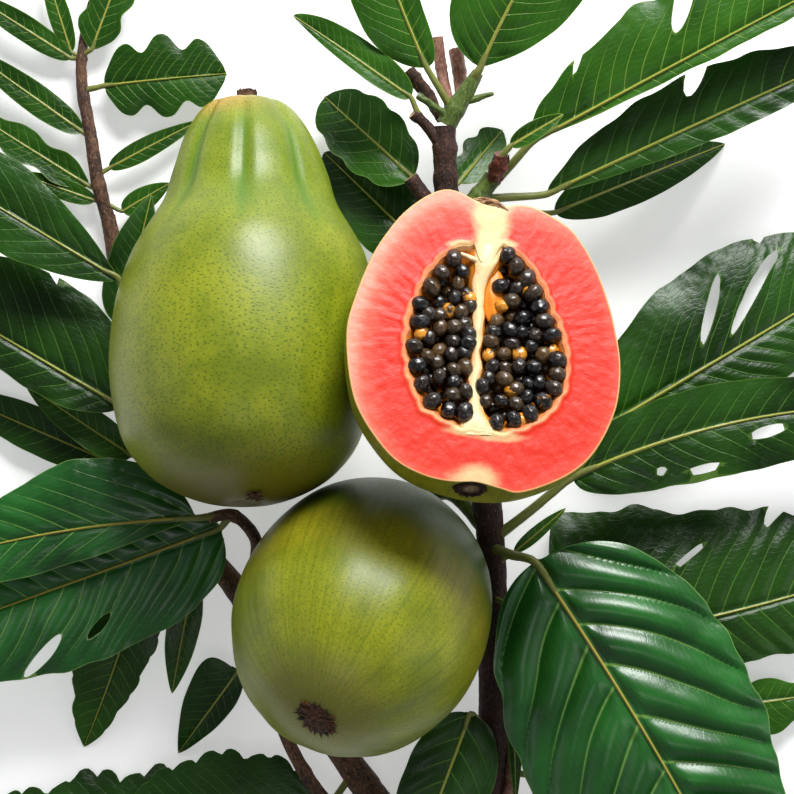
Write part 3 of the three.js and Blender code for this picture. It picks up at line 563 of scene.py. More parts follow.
def leafPlace(leaf, axes, t, across, lift, least=0.5):
    reach = abs(across) * halfWidth(leaf, t, across, least)
    bulge = 4 * t * (1 - t)
    fold = leaf.get("fold", blade["fold"])
    height = fold * reach - blade["droop"] * reach ** 2 + axes["length"] * blade["arch"] * bulge
    sideways = leaf.get("bow", 0) * bulge + math.copysign(reach, across)
    return axes["base"].lerp(axes["tip"], t) + axes["left"] * sideways + axes["above"] * (height + lift)


def inCut(leaf, axes, cut, t, across):
    # where a place of the blade is in the hole's own circle
    middle, side, halfAcross, halfAlong, lean = cut
    x = (across - side) / halfAcross
    outward = x * math.copysign(halfAcross, side) * halfWidth(leaf, middle, side)
    z = ((t - middle) * axes["length"] - lean * outward) / halfAlong
    return x, z


def cutRadius(leaf, axes, cut, spot):
    return math.hypot(*inCut(leaf, axes, cut, *spot))


def openCut(edit, spots, leaf, axes, cut):
    # moves the nearest points of the net onto the hole's edge, then takes out what lies inside
    near = {face for v in spots if cutRadius(leaf, axes, cut, spots[v]) < 2.2 for face in v.link_faces}
    bmesh.ops.triangulate(edit, faces=list(near))
    crossings = []
    for edge in edit.edges:
        a, b = edge.verts
        first, last = (cutRadius(leaf, axes, cut, spots[v]) - 1 for v in (a, b))
        if first * last < 0:
            low, high = 0.0, 1.0
            for _ in range(blade["cutHalvings"]):
                middle = (low + high) / 2
                spot = [p + (q - p) * middle for p, q in zip(spots[a], spots[b])]
                if (cutRadius(leaf, axes, cut, spot) - 1) * first > 0:
                    low = middle
                else:
                    high = middle
            crossings.append((min(low, 1 - low), low, a, b))
    crossings.sort(key=lambda c: (c[0], c[2].index, c[3].index))
    for _, share, a, b in crossings:
        first, last = (cutRadius(leaf, axes, cut, spots[v]) - 1 for v in (a, b))
        if first * last >= 0 or min(abs(first), abs(last)) < 1e-5:
            continue
        spot = tuple(p + (q - p) * share for p, q in zip(spots[a], spots[b]))
        aOnMargin, bOnMargin = abs(spots[a][1]) > 0.999, abs(spots[b][1]) > 0.999
        moved = a if share < 0.5 else b
        if aOnMargin != bOnMargin and (aOnMargin if moved is a else bOnMargin):
            moved = b if moved is a else a
        spots[moved] = spot
    gone = []
    for face in edit.faces:
        radii = [cutRadius(leaf, axes, cut, spots[v]) for v in face.verts]
        if max(radii) < 1 + 1e-4 and len(radii) == 3:
            gone.append(face)
    bmesh.ops.delete(edit, geom=gone, context="FACES")
    return {v: spot for v, spot in spots.items() if v.is_valid}


def addBlade(name, leaf, seed):
    axes = leafAxes(leaf)
    length = axes["length"]
    widest = max(leaf["left"][0], leaf["right"][0])
    pitch = length / leaf["veins"] if "veins" in leaf else min(max(length / 14, 5), blade["veinPitch"])
    fine = leaf.get("fine", 1)
    rows = max(26, round(length / min(blade["rowGap"] / fine, pitch / 5)))
    columns = 2 * max(7, round(widest * fine / blade["columnGap"]))
    piece = addPoints("grid", x_subdivisions=columns, y_subdivisions=rows, size=2)
    piece.name = name
    edit = bmesh.new()
    edit.from_mesh(piece.data)
    spotLayer = edit.verts.layers.float_vector.new("bladeSpot")
    gapLayer = edit.verts.layers.float_vector.new("bladeGaps")
    spots = {}
    for vertex in edit.verts:
        across = -math.copysign(abs(vertex.co.x) ** 1.35, vertex.co.x)
        t = 0.5 - 0.5 * math.cos(math.pi * (vertex.co.y + 1) / 2)
        spots[vertex] = (t, across)
    for cut in leaf.get("cuts", []):
        spots = openCut(edit, spots, leaf, axes, cut)
    ribHalf = leaf["stalk"] * leaf.get("rib", 0.42)
    relief = leaf.get("relief", 1)
    swing = Vector((seed * 1.7, seed * 0.6, seed * 2.3))
    for vertex, (t, across) in spots.items():
        half = halfWidth(leaf, t, across, 0.12)
        reach = abs(across) * half
        lean = leaf.get("veinLean", blade["veinLean"])
        # veins leave the midrib unevenly and bend forward as they near the margin
        forward = lean * reach + blade["veinBend"] * reach ** 2 / widest
        spacing = Vector((t * length / pitch * 0.5, 1.5 * (across > 0), 5))
        uneven = blade["veinUneven"] * noise.noise(spacing + swing)
        offset = blade["veinOffset"] if across > 0 else 0
        phase = (t * length - forward) / pitch + offset + uneven
        middle = smooth(1, 7, reach)
        rim = smooth(0, 5, half - reach)
        crease = abs(math.sin(math.pi * phase)) ** leaf.get("crease", blade["crease"])
        quilt = blade["quilt"] * pitch * relief * (crease - 0.6) * middle * (0.3 + 0.7 * rim)
        thin = ribHalf * (1 - blade["ribTaper"] * t)
        ridge = blade["ribHeight"] * thin * math.exp(-1.1 * (reach / thin) ** 2)
        fromGutter = (reach - blade["gutterPlace"] * thin) / (blade["gutterWidth"] * thin)
        gutter = -blade["gutterDepth"] * min(widest / 30, 1) * math.exp(-fromGutter ** 2)
        sway = noise.noise(Vector((t * length / 30, across * 0.9, 0)) + swing)
        flutter = noise.noise(Vector((t * length / 13, 2 * (across > 0), 9)) + swing)
        wave = blade["wave"] * across ** 2 * min(half / 14, 1) * (sway * 1.4 + flutter * 0.6)
        ruffle = 1 + blade["ruffle"] * abs(across) ** 3 * leaf.get("ruffle", 1) * flutter * 2
        lift = 0.4 + quilt + ridge + gutter + wave
        spot = toFrame(leafPlace(leaf, axes, t, across * ruffle, lift, 0.12))
        spot.z = max(spot.z, (0.15 + blade["thickness"]) * millimetre)
        vertex.co = spot
        edgeGap = half - reach
        for cut in leaf.get("cuts", []):
            r = cutRadius(leaf, axes, cut, (t, across))
            edgeGap = min(edgeGap, max(r - 1, 0) * min(cut[3], cut[2] * half))
        vertex[spotLayer] = (phase, across, reach)
        vertex[gapLayer] = (reach / thin, edgeGap, leaf.get("tone", 0))
    edit.to_mesh(piece.data)
    edit.free()
    solidify = piece.modifiers.new("thickness", "SOLIDIFY")
    solidify.thickness = blade["thickness"] * millimetre
    solidify.offset = -1
    solidify.material_offset = 1
    bpy.ops.object.modifier_apply(modifier=solidify.name)
    return piece


def addLeaf(name, leaf, seed):
    piece = addBlade(name, leaf, seed)
    for skin in (*leafSkins[leaf["finish"]], stalkSkin):
        piece.data.materials.append(skin)
    axes = leafAxes(leaf)
    inside = leafPlace(leaf, axes, 0.08, 0, 0)
    foot = leafPlace(leaf, axes, 0, 0, 0)
    root = Vector(leaf["root"])
    middle = root.lerp(foot, 0.5)
    middle.z += (foot.z - root.z) * 0.15
    widths = [leaf["stalk"] * share for share in (1.15, 1, 0.85, 0.6)]
    points = [(*spot, width) for spot, width in zip((root, middle, foot, inside), widths)]
    stalk = addTube(name + "_stalk", points, 12, 20, relief=0.12)
    stalk.data.materials.append(stalkSkin)
    return joinPieces([piece, stalk], name)


for number, (name, leaf) in enumerate(leaves.items()):
    finishPiece(addLeaf("dressed_" + name, leaf, number + 1), [name])
print("leaves are on")

# The far left spray: a thin twig with lobed leaves, one piece as in the solids.
sprayTwig = [
    (-134, 83, 7, 3.3), (-138, 98, 8.5, 3.3), (-142, 122, 8, 3), (-146, 145, 7, 2.7),
    (-146, 158, 7, 2.4), (-143, 178, 6, 1.9), (-136, 198, 6, 1.3),
]
sprayLeaves = [
    {
        "root": (-146, 158, 7), "base": (-141, 161, 9), "tip": (-121, 213, 8),
        "left": (12, 0.45, 0.7), "right": (11, 0.45, 0.7), "stalk": 1.2, "lobes": 3,
    },
    {
        "root": (-145, 142, 7), "base": (-135, 144, 9), "tip": (-79, 149, 12),
        "left": (21, 0.35, 0.4), "right": (18, 0.35, 0.4), "stalk": 1.4, "lobes": 3, "lobeDepth": 0.35,
    },
    {
        "root": (-138, 103, 8.3), "base": (-133, 106, 8), "tip": (-91, 128, 8),
        "left": (5, 0.45, 0.8), "right": (5, 0.45, 0.8), "stalk": 1.2,
    },
    {
        "root": (-136, 90, 7.6), "base": (-127, 86, 8), "tip": (-105, 99, 8),
        "left": (5.5, 0.45, 0.8), "right": (6, 0.45, 0.8), "stalk": 1.1,
    },
    {
        "root": (-146, 157, 7), "base": (-151, 157, 7), "tip": (-203, 190, 7),
        "left": (6, 0.45, 0.8), "right": (6, 0.45, 0.8), "stalk": 1.2,
    },
    {
        "root": (-146, 157, 7), "base": (-151, 160, 7), "tip": (-164, 203, 10),
        "left": (5, 0.45, 0.8), "right": (5, 0.45, 0.8), "stalk": 1.1,
    },
    {
        "root": (-142, 120, 8), "base": (-146, 123, 8), "tip": (-202, 163, 7),
        "left": (7, 0.45, 0.8), "right": (7, 0.45, 0.8), "stalk": 1.3,
    },
    {
        "root": (-138, 96, 8.2), "base": (-143, 98, 8), "tip": (-205, 137, 8),
        "left": (8.5, 0.45, 0.7), "right": (8.5, 0.45, 0.7), "stalk": 1.3, "lobes": 3,
    },
    {
        "root": (-136, 90, 7.6), "base": (-140, 91, 8), "tip": (-177, 104, 9),
        "left": (5, 0.45, 0.8), "right": (5, 0.45, 0.8), "stalk": 1.1,
    },
]


# Woody skins: grey to reddish brown, fissured along the limb, with pale lenticels.
barkLooks = {
    # name: dark, light and lenticel colours, depth of the relief in metres, and roughness
    "darkStemBark": ("#150908", "#4a2a20", "#8a6a52", 0.0009, 0.7),
    "brownShootBark": ("#2c1a12", "#6b4a33", "#a98d6d", 0.0006, 0.7),
    "greenShootSkin": ("#37491a", "#5d7030", "#8d9a5a", 0.0002, 0.42),
    "pinkTwigSkin": ("#7a4a3c", "#b58574", "#cfa897", 0.0003, 0.5),
    "redBudScales": ("#3a1510", "#6f3026", "#8a7a48", 0.0004, 0.45),
    "dryBracts": ("#140803", "#58300f", "#a4713a", 0.0005, 0.7),
    "dryFibres": ("#7d5638", "#cba47a", "#e6cfa8", 0.0003, 0.75),
    "cutWood": ("#8a6a45", "#cdb38a", "#e3d3b0", 0.0003, 0.8),
    "scarCork": ("#2a170d", "#6d4a2c", "#a98a5c", 0.0006, 0.85),
}


def barkMaterial(name, look):
    dark, light, lenticel, depth, roughness = look
    material, tree, shader = newMaterial(name, roughness, 1.45)
    coords = addNode(tree, "TexCoord").outputs["Object"]
    # pieces with no unrolled skin of their own, such as bracts, are grained by place
    both = addNode(tree, "VectorMath", layerVector(tree, "barkSpot"), coords, operation="ADD")
    fissures = grainOver(tree, both, 520.0, 6.0, 0.65)
    patches = grainOver(tree, both, 90.0, 3.0)
    mixed = calc(tree, "MULTIPLY_ADD", patches, 0.5, -0.25)
    shade = calc(tree, "ADD", fissures, mixed)
    tone = remap(tree, shade, 0.35, 0.68, soft=True)
    colour = blend(tree, tone, dark, light)
    # lenticels, about 3 mm apart
    pores = addNode(tree, "TexVoronoi", Scale=330.0, Vector=both)
    poreShare = remap(tree, pores, 0.1, 0.2, 0.6, 0.0)
    dotted = blend(tree, poreShare, colour, lenticel)
    height = calc(tree, "MULTIPLY_ADD", poreShare, 0.4, fissures)
    paint(tree, shader, dotted, height, 0.8, depth)
    return material


barks = {name: barkMaterial(name, look) for name, look in barkLooks.items()}

# Places along each limb and the radius there, then its skin, its rings and its nodes.
limbs = {
    "main_stem": {
        "points": [
            (24, -242, 10.5, 10.5), (36, -205, 13, 8.6), (43, -169, 16, 7.2), (44, -111, 22, 6.6),
            (42, -60, 28, 6.3), (33, -1, 34, 6), (25, 53, 38, 5.7), (22, 93, 41, 5.3), (21, 121, 44, 5),
        ],
        "skin": "darkStemBark", "slot": "bark_dark", "sides": 36, "rings": 240, "relief": 0.55,
        "knots": [(0.28, 0.008, 0.5), (0.42, 0.008, 0.4), (0.52, 0.01, 0.6), (0.8, 0.012, 0.6),
                  (0.9, 0.01, 0.5), (0.955, 0.012, 0.6)],
        "stubs": [
            [(20, 112, 44, 3), (13, 121, 46, 2.4), (7, 126, 48, 2.6)],
            [(20, 80, 41, 3.6), (11, 91, 43, 3.6), (6, 98, 44, 3.2)],
        ],
    },
    "left_bough": {
        "points": [
            (29, -231, 11, 6.6), (17, -219, 11, 6.8), (4, -202, 11, 6.8), (-15, -179, 10.5, 6.6),
            (-56, -118, 8.5, 5.8), (-78, -84, 8, 5.4), (-101, -58, 7.5, 5), (-119, -11, 6, 4.6),
            (-127, 36, 5.5, 4.2), (-132, 73, 6, 3.6), (-134, 84, 7, 3.4),
        ],
        "skin": "brownShootBark", "slot": "bark_brown", "sides": 28, "rings": 240, "relief": 0.4,
        "knots": [(0.3, 0.01, 0.5), (0.55, 0.01, 0.5), (0.7, 0.01, 0.4), (0.85, 0.01, 0.4)],
    },
    "left_shoot": {
        "points": [
            (-2, -209, 14, 3), (-24, -192, 22, 3.2), (-36, -180, 23, 3.1), (-50, -156, 23, 3),
            (-61, -120, 23, 2.9), (-66, -86, 22, 2.8), (-64, -64, 32, 2.8), (-74, -53, 38, 2.7),
            (-84, -54, 41, 2.4),
        ],
        "skin": "brownShootBark", "slot": "bark_brown", "sides": 20, "rings": 160, "relief": 0.2,
        "knots": [(0.3, 0.01, 0.4), (0.6, 0.01, 0.3), (0.86, 0.012, 0.4)],
    },
    "right_shoot": {
        "points": [(36, -211, 14, 2.6), (51, -182, 17, 2.8), (53, -152, 18, 2.4), (54, -126, 19, 1.8)],
        "skin": "pinkTwigSkin", "slot": "bark_brown", "sides": 20, "rings": 80, "relief": 0.15,
        "knots": [(0.45, 0.02, 0.4), (0.75, 0.02, 0.3)],
    },
    "upper_right_shoot": {
        "points": [(22, 76, 40, 4), (35, 88, 44, 4.2), (43, 98, 46, 4)],
        "skin": "greenShootSkin", "slot": "green_shoot", "sides": 28, "rings": 40, "relief": 0.15,
        "knots": [(0.6, 0.06, 0.5), (0.97, 0.06, 0.4)],
    },
    "crown_shoot": {
        "points": [(22, 121.5, 44, 4.6), (25, 127, 45, 4.7), (31, 136, 47, 3.8), (36, 144, 49, 2.6)],
        "skin": "greenShootSkin", "slot": "green_shoot", "sides": 28, "rings": 40, "relief": 0.12,
        "knots": [(0.4, 0.06, 0.4)],
        "stubs": [
            [(24, 124, 46, 1.8), (15, 130, 48.5, 1.6), (9, 134, 49, 1.4)],
            [(29, 131, 46, 2), (36, 133, 47, 1.6), (43, 135, 48, 0.6)],
        ],
    },
    "half_fruit_stalk": {
        "points": [(24, 64, 38.5, 4.6), (32, 75, 58, 4), (38, 80, 80, 3.8), (40, 73, 89, 4.2)],
        "skin": "brownShootBark", "slot": "bark_brown", "sides": 24, "rings": 60, "relief": 0.25,
        "knots": [(0.5, 0.04, 0.4)],
    },
    "lower_fruit_stalk": {
        "points": [(42, -62, 27.5, 3.6), (24, -44, 14, 3.6), (8, -46, 10, 4), (2, -62, 12, 5)],
        "skin": "greenShootSkin", "slot": "green_shoot", "sides": 24, "rings": 60, "relief": 0.2,
        "knots": [(0.4, 0.04, 0.4)],
    },
    "cut_twig_left": {
        "points": [(24, 128, 42, 2.3), (20, 146, 40.5, 2.6), (18, 161, 41, 2.7)],
        "skin": "pinkTwigSkin", "slot": "pink_twig", "sides": 24, "rings": 50, "relief": 0.15,
        "knots": [(0.55, 0.03, 0.3)],
    },
    "cut_twig_right": {
        "points": [(29, 131, 43, 2.8), (28, 146, 38, 3.2), (26.5, 156, 35, 3.4)],
        "skin": "pinkTwigSkin", "slot": "pink_twig", "sides": 24, "rings": 40, "relief": 0.15,
        "knots": [(0.5, 0.04, 0.3)],
    },
    "dead_stub": {
        "points": [(20, 124, 42, 2.2), (12, 138, 38, 2.9), (5, 146, 36, 3.6)],
        "skin": "dryBracts", "slot": "bark_brown", "sides": 24, "rings": 40, "relief": 0.5,
        "knots": [(0.4, 0.05, 0.5), (0.8, 0.05, 0.5)],
    },
}


def paintEnds(tube, sideSkin, endSkin):
    # bark on the sides, cut wood on the flat ends, which are the fans of triangles
    tube.data.materials.append(sideSkin)
    tube.data.materials.append(endSkin)
    for face in tube.data.polygons:
        face.material_index = 1 if len(face.vertices) == 3 else 0


def addLimb(name, limb):
    skin = barks[limb["skin"]]
    whole = addTube("dressed_" + name, limb["points"], limb["sides"], limb["rings"],
                    limb["relief"], 3.0, limb["knots"])
    paintEnds(whole, skin, barks["cutWood"])
    parts = [whole]
    for stubPoints in limb.get("stubs", []):
        stub = addTube(name + "_stub", stubPoints, 16, 24, 0.3, 3.0, [(0.9, 0.1, 0.3)])
        paintEnds(stub, skin, barks["cutWood"])
        parts.append(stub)
    return finishPiece(joinPieces(parts, "dressed_" + name), [name])


for name, limb in limbs.items():
    addLimb(name, limb)

firstSpraySeed = 50
sprayParts = []
for seed, leaf in enumerate(sprayLeaves, firstSpraySeed):
    sprayParts.append(addLeaf("spray_leaf", {**leaf, "finish": "fresh", "tone": -0.35}, seed))
twig = addTube("spray_twig", sprayTwig, 16, 120, 0.25, 3.0,
               [(0.16, 0.015, 0.4), (0.45, 0.015, 0.4), (0.65, 0.015, 0.4)])
paintEnds(twig, barks["brownShootBark"], barks["cutWood"])
sprayParts.append(twig)
finishPiece(joinPieces(sprayParts, "dressed_far_left_spray"), ["far_left_spray"])
print("stems, twigs and the spray are on")

# Outlines of the fruits: half width and height in pairs, from the blossom end to the stalk.
wholeFruit = {
    "right": [
        (0, 5), (14, 4), (30, 9.5), (43, 19), (52.5, 34), (58, 61), (58, 90), (53.5, 114),
        (41.5, 137), (36.5, 153), (30, 169), (20, 182), (8, 185), (0, 182),
    ],
    "left": [
        (0, 5), (14, 4), (30, 9.5), (43, 19), (52.5, 34), (58, 61), (56.5, 90), (49.5, 114),
        (37, 137), (32.5, 153), (27.5, 169), (19, 182), (8, 185), (0, 182),
    ],
    "middle": Vector((-67.6, 24, 58.8)), "bellyHeight": 75, "tilt": math.radians(-12),
    "furrows": 9, "firstFurrow": math.radians(2), "furrowDepth": 1.7,
}
lowerOutline = [
    (0, 2.5), (9, 0), (25, 6.5), (41, 21), (51.5, 40), (55.5, 62), (53.5, 85), (45, 108),
    (28, 127), (10, 134), (0, 131),
]
lowerFruit = {
    "right": lowerOutline, "left": lowerOutline, "middle": Vector((-15, -95.5, 64.5)),
    "bellyHeight": 67, "point": Vector((-0.27, -0.55, 0.79)).normalized(),
    "furrows": 10, "firstFurrow": math.radians(10), "furrowDepth": 0.7,
}
halfFruit = {
    "left": [
        (0, 0), (9, -2.5), (22, -1), (35, 5.5), (48, 21), (54, 36), (57, 57), (54.5, 73),
        (49.6, 90), (44, 102), (36.8, 113), (27, 122), (18.5, 125), (8, 121), (0, 117),
    ],
    "right": [
        (0, 0), (12, -3.4), (21, -3.8), (38, 5), (49, 16.6), (56.8, 35.6), (58, 55), (54.6, 73),
        (50.8, 85), (46.2, 96), (40, 106.5), (32, 115), (17, 121.5), (6, 120), (0, 117),
    ],
    "middle": Vector((35.7, 21.6, 117)), "foot": Vector((-4.6, -57.2, 0)),
    "tilt": (math.radians(-18), math.radians(7)), "slant": math.radians(-4.5),
    "aheadOfAxis": 5, "hollowMiddle": Vector((1, 2.2, 0)), "hollowDepth": 20, "bellyHeight": 57,
}


def outlineAt(points, t):
    # the smooth outline of a fruit through its places, the same one as the solid's
    last = len(points) - 1
    place = min(max(t, 0), 1) * last
    first = min(int(place), last - 1)
    w = place - first
    p0, p1 = Vector(points[max(first - 1, 0)]), Vector(points[first])
    p2, p3 = Vector(points[first + 1]), Vector(points[min(first + 2, last)])
    v0, v1 = (p2 - p0) * 0.5, (p3 - p1) * 0.5
    cubic = 2 * p1 - 2 * p2 + v0 + v1
    square = -3 * p1 + 3 * p2 - 2 * v0 - v1
    return p1 + v0 * w + square * w ** 2 + cubic * w ** 3


# Papaya skin: a thin waxy rind, green turning yellow, with darker lenticels in short dashes.
skinLooks = {
    "wholeFruitRind": {
        "base": "#69770b", "pale": "#8b931a", "green": "#4f7409", "ripe": "#c08a30", "dark": "#5e4c12",
        "dash": "#4a6107", "dashShare": 0.85, "speckle": 0.6, "streaks": 0.08,
        "roughness": 0.4, "ior": 1.47,
    },
    # the lower rind's green is near black: on the lower fruit it is also the painted shade over its far
    # side
    "lowerFruitRind": {
        "base": "#69730b", "pale": "#878c15", "green": "#2a4506", "ripe": "#a88a22", "dark": "#77703a",
        "dash": "#4f650a", "dashShare": 0.6, "speckle": 0.6, "streaks": 0.3,
        "roughness": 0.4, "ior": 1.4,
    },
}


def skinMaterial(name, look):
    material, tree, shader = newMaterial(name, look["roughness"], look["ior"])
    greenAndShadeShare, ripeShare, darkShare = partsOf(tree, layerVector(tree, "skinTone"))
    unrolled = layerVector(tree, "skinUnrolled")
    coords = addNode(tree, "TexCoord").outputs["Object"]
    blotch = grainOver(tree, coords, 30.0, 5.0, 0.62)
    yellow = remap(tree, blotch, 0.36, 0.66, soft=True)
    base = blend(tree, yellow, look["base"], look["pale"])
    # green of the furrows, and on the lower fruit also painted shade over its far side
    greenedAndShaded = blend(tree, greenAndShadeShare, base, look["green"])
    ripened = blend(tree, ripeShare, greenedAndShaded, look["ripe"])
    darkened = blend(tree, darkShare, ripened, look["dark"])
    # a fine speckle under a millimetre across
    grit = grainOver(tree, coords, 1300.0, 2.0)
    gritShare = remap(tree, grit, 0.5, 0.72, 0.0, look["speckle"])
    gritty = blend(tree, gritShare, darkened, look["dash"])
    # fine streaks about a millimetre wide that run along the fruit
    drawn = addNode(tree, "Mapping", Scale=(520.0, 22.0, 0.0), Vector=unrolled)
    streaks = grainOver(tree, drawn, 1.0, 3.0)
    streakShare = remap(tree, streaks, 0.46, 0.68, 0.0, look["streaks"])
    streaky = blend(tree, streakShare, gritty, look["green"])
    # dashes 2.5 mm apart round the fruit and 1.8 mm apart along it
    stretched = addNode(tree, "Mapping", Scale=(400.0, 555.0, 0.0), Vector=unrolled)
    cells = addNode(tree, "TexVoronoi", voronoi_dimensions="2D", Scale=1.0, Randomness=1.0,
                    Vector=stretched)
    chance = addNode(tree, "SeparateColor", cells.outputs["Color"])
    strength = remap(tree, chance, 0.0, 0.7, 0.25, look["dashShare"])
    dash = remap(tree, cells, 0.12, 0.3, 1.0, 0.0, soft=True)
    dashShare = calc(tree, "MULTIPLY", dash, strength)
    dashed = blend(tree, dashShare, streaky, look["dash"])
    pores = grainOver(tree, coords, 700.0, 3.0)
    height = calc(tree, "MULTIPLY_ADD", dashShare, -0.8, pores)
    paint(tree, shader, dashed, height, 0.14, 0.0003)
    return material


skins = {name: skinMaterial(name, look) for name, look in skinLooks.items()}
skinRound = 52  # mm, about the radius of the fruits, for the skin laid flat


def unrollSkin(piece, angles, heights):
    # the skin laid flat for its dashes, kept per corner so that no face straddles the seam
    layer = piece.data.attributes.new("skinUnrolled", "FLOAT_VECTOR", "CORNER")
    for face in piece.data.polygons:
        turns = [angles[piece.data.loops[i].vertex_index] for i in face.loop_indices]
        shift = max(turns) - min(turns) > math.pi
        for i, turn in zip(face.loop_indices, turns):
            full = turn + 2 * math.pi if shift and turn < 0 else turn
            high = heights[piece.data.loops[i].vertex_index]
            layer.data[i].vector = Vector((full * skinRound, high, 0)) * millimetre


def addFruit(name, fruit, place, skin, tones):
    piece = addPoints("uv_sphere", segments=180, ring_count=130, radius=1)
    piece.name = name
    layer = piece.data.attributes.new("skinTone", "FLOAT_VECTOR", "POINT")
    length = fruit["left"][-1][1]
    angles, heights = [], []
    for vertex in piece.data.vertices:
        turn = Vector((vertex.co.x, -vertex.co.y))
        ring = turn.length
        turn = turn / ring if ring > 1e-6 else Vector((0, 0))
        t = 1 - math.acos(min(max(vertex.co.z, -1), 1)) / math.pi
        spot = outlineAt(fruit["left"], t).lerp(outlineAt(fruit["right"], t), (1 + turn.x) / 2)
        angle = math.atan2(turn.x, turn.y)
        height = spot.y / length
        cut, tone = tones(angle, height)
        uneven = noise.noise(Vector((turn.x * 1.6, turn.y * 1.6, height * 3.2))) * 0.7
        radius = max(spot.x - cut + uneven * min(spot.x / 20, 1), 0)
        layer.data[vertex.index].vector = tone
        angles.append(angle)
        heights.append(spot.y)
        vertex.co = place(Vector((turn.x * radius, spot.y - fruit["bellyHeight"], turn.y * radius)))
        vertex.co.z = max(vertex.co.z, 0.0001)
    unrollSkin(piece, angles, heights)
    piece.data.materials.append(skin)
    return piece


def furrowShare(fruit, angle, width):
    step = 2 * math.pi / fruit["furrows"]
    off = (angle - fruit["firstFurrow"] + step / 2) % step - step / 2
    return math.exp(-(off / width) ** 2)


def wholeTones(angle, height):
    # furrows run down the neck, greener inside; the shoulder is riper on the left, the foot
    # browner. Heights are shares of the fruit's length from its blossom end.
    near = smooth(0.62, 0.8, height)
    deep = furrowShare(wholeFruit, angle, math.radians(5.5))
    cut = wholeFruit["furrowDepth"] * deep * near * (1 - 0.5 * smooth(0.96, 1, height))
    band = smooth(0.6, 0.72, height) * (1 - smooth(0.88, 0.98, height))
    cloud = 0.5 + 0.9 * noise.noise(Vector((math.cos(angle) * 2, math.sin(angle) * 2, height * 9)))
    streak = furrowShare(wholeFruit, angle, math.radians(3)) * band
    wide = furrowShare(wholeFruit, angle, math.radians(11)) * band * min(max(cloud, 0), 1)
    neck = 0.22 * smooth(0.62, 0.78, height) * (1 - smooth(0.9, 1, height))
    green = min(0.5 * streak + 0.5 * wide + neck, 1)
    ripe = 0.7 * smooth(0.93, 1, height) * math.exp(-((angle + 0.5) / 0.7) ** 2)
    dark = 0.75 * (1 - smooth(0.02, 0.14, height)) + 0.12 * (1 - smooth(0.1, 0.42, height))
    return cut, (green, ripe, min(dark, 1))


def lowerTones(angle, height):
    # faint furrows fan out from the blossom end, greener inside; the far side, towards the stalk, is
    # painted dark green as shade from the fruits above it
    near = (1 - smooth(0.2, 0.66, height)) * smooth(0.015, 0.08, height)
    deep = furrowShare(lowerFruit, angle, math.radians(9))
    cut = lowerFruit["furrowDepth"] * deep * near
    # furrow green, plus painted shade: from mid height to the stalk the fruit goes dark green
    green = min(0.1 * deep * near + smooth(0.44, 0.68, height), 1)
    ripe = 0.3 * smooth(0.28, 0.45, height) * (1 - smooth(0.5, 0.64, height))
    return cut, (green, ripe, 0.6 * (1 - smooth(0.01, 0.12, height)))


wholeTurn = Matrix.Rotation(wholeFruit["tilt"], 4, "X")
lowerTurn = Vector((0, -1, 0)).rotation_difference(lowerFruit["point"]).to_matrix().to_4x4()
halfTurn = (Matrix.Rotation(halfFruit["tilt"][0], 4, "X")
            @ Matrix.Rotation(halfFruit["tilt"][1], 4, "Y"))


def wholePlace(spot):
    return toFrame(wholeTurn @ spot + wholeFruit["middle"])


def lowerPlace(spot):
    return toFrame(lowerTurn @ spot + lowerFruit["middle"])


def halfPlace(spot):
    return toFrame(halfTurn @ spot + halfFruit["middle"])


whole = addFruit("dressed_whole_fruit", wholeFruit, wholePlace, skins["wholeFruitRind"], wholeTones)
finishPiece(whole, ["whole_fruit"])
lower = addFruit("dressed_lower_fruit", lowerFruit, lowerPlace, skins["lowerFruitRind"], lowerTones)
finishPiece(lower, ["lower_fruit"])
print("whole fruits are in")


def outlineTable(points):
    # the outline as distance from the fruit's middle at each angle up from its widest part
    spots = [outlineAt(points, i / 800) for i in range(801)]
    belly = halfFruit["bellyHeight"]
    angles = [math.atan2(spot.y - belly, max(spot.x, 0)) for spot in spots]
    reaches = [math.hypot(spot.x, spot.y - belly) for spot in spots]
    return np.maximum.accumulate(np.array(angles)), np.array(reaches)


leftTable = outlineTable(halfFruit["left"])
rightTable = outlineTable(halfFruit["right"])


def outsideHalf(spots):
    # over 0 outside the half fruit's skin, in its own frame, whose cut face is at z 0
    c, s = math.cos(-halfFruit["slant"]), math.sin(-halfFruit["slant"])
    x, y = spots[:, 0] - halfFruit["foot"].x, spots[:, 1] - halfFruit["foot"].y
    bx, by, bz = c * x - s * y, s * x + c * y, spots[:, 2] + halfFruit["aheadOfAxis"]
    ring = np.hypot(bx, bz)
    high = by - halfFruit["bellyHeight"]
    angle = np.arctan2(high, ring)
    share = (1 + bx / np.maximum(ring, 1e-6)) / 2
    far = np.interp(angle, *leftTable) * (1 - share) + np.interp(angle, *rightTable) * share
    return np.hypot(ring, high) - far


def reachHalf(directions):
    # how far the skin is from the hollow's middle in each direction, found by halving
    start = np.array(halfFruit["hollowMiddle"])
    farthest, halvings = 110.0, 34  # in mm, past the skin on every side; times it is halved
    low, high = np.zeros(len(directions)), np.full(len(directions), farthest)
    for _ in range(halvings):
        middle = (low + high) / 2
        inside = outsideHalf(start + directions * middle[:, None]) < 0
        low, high = np.where(inside, middle, low), np.where(inside, high, middle)
    return low


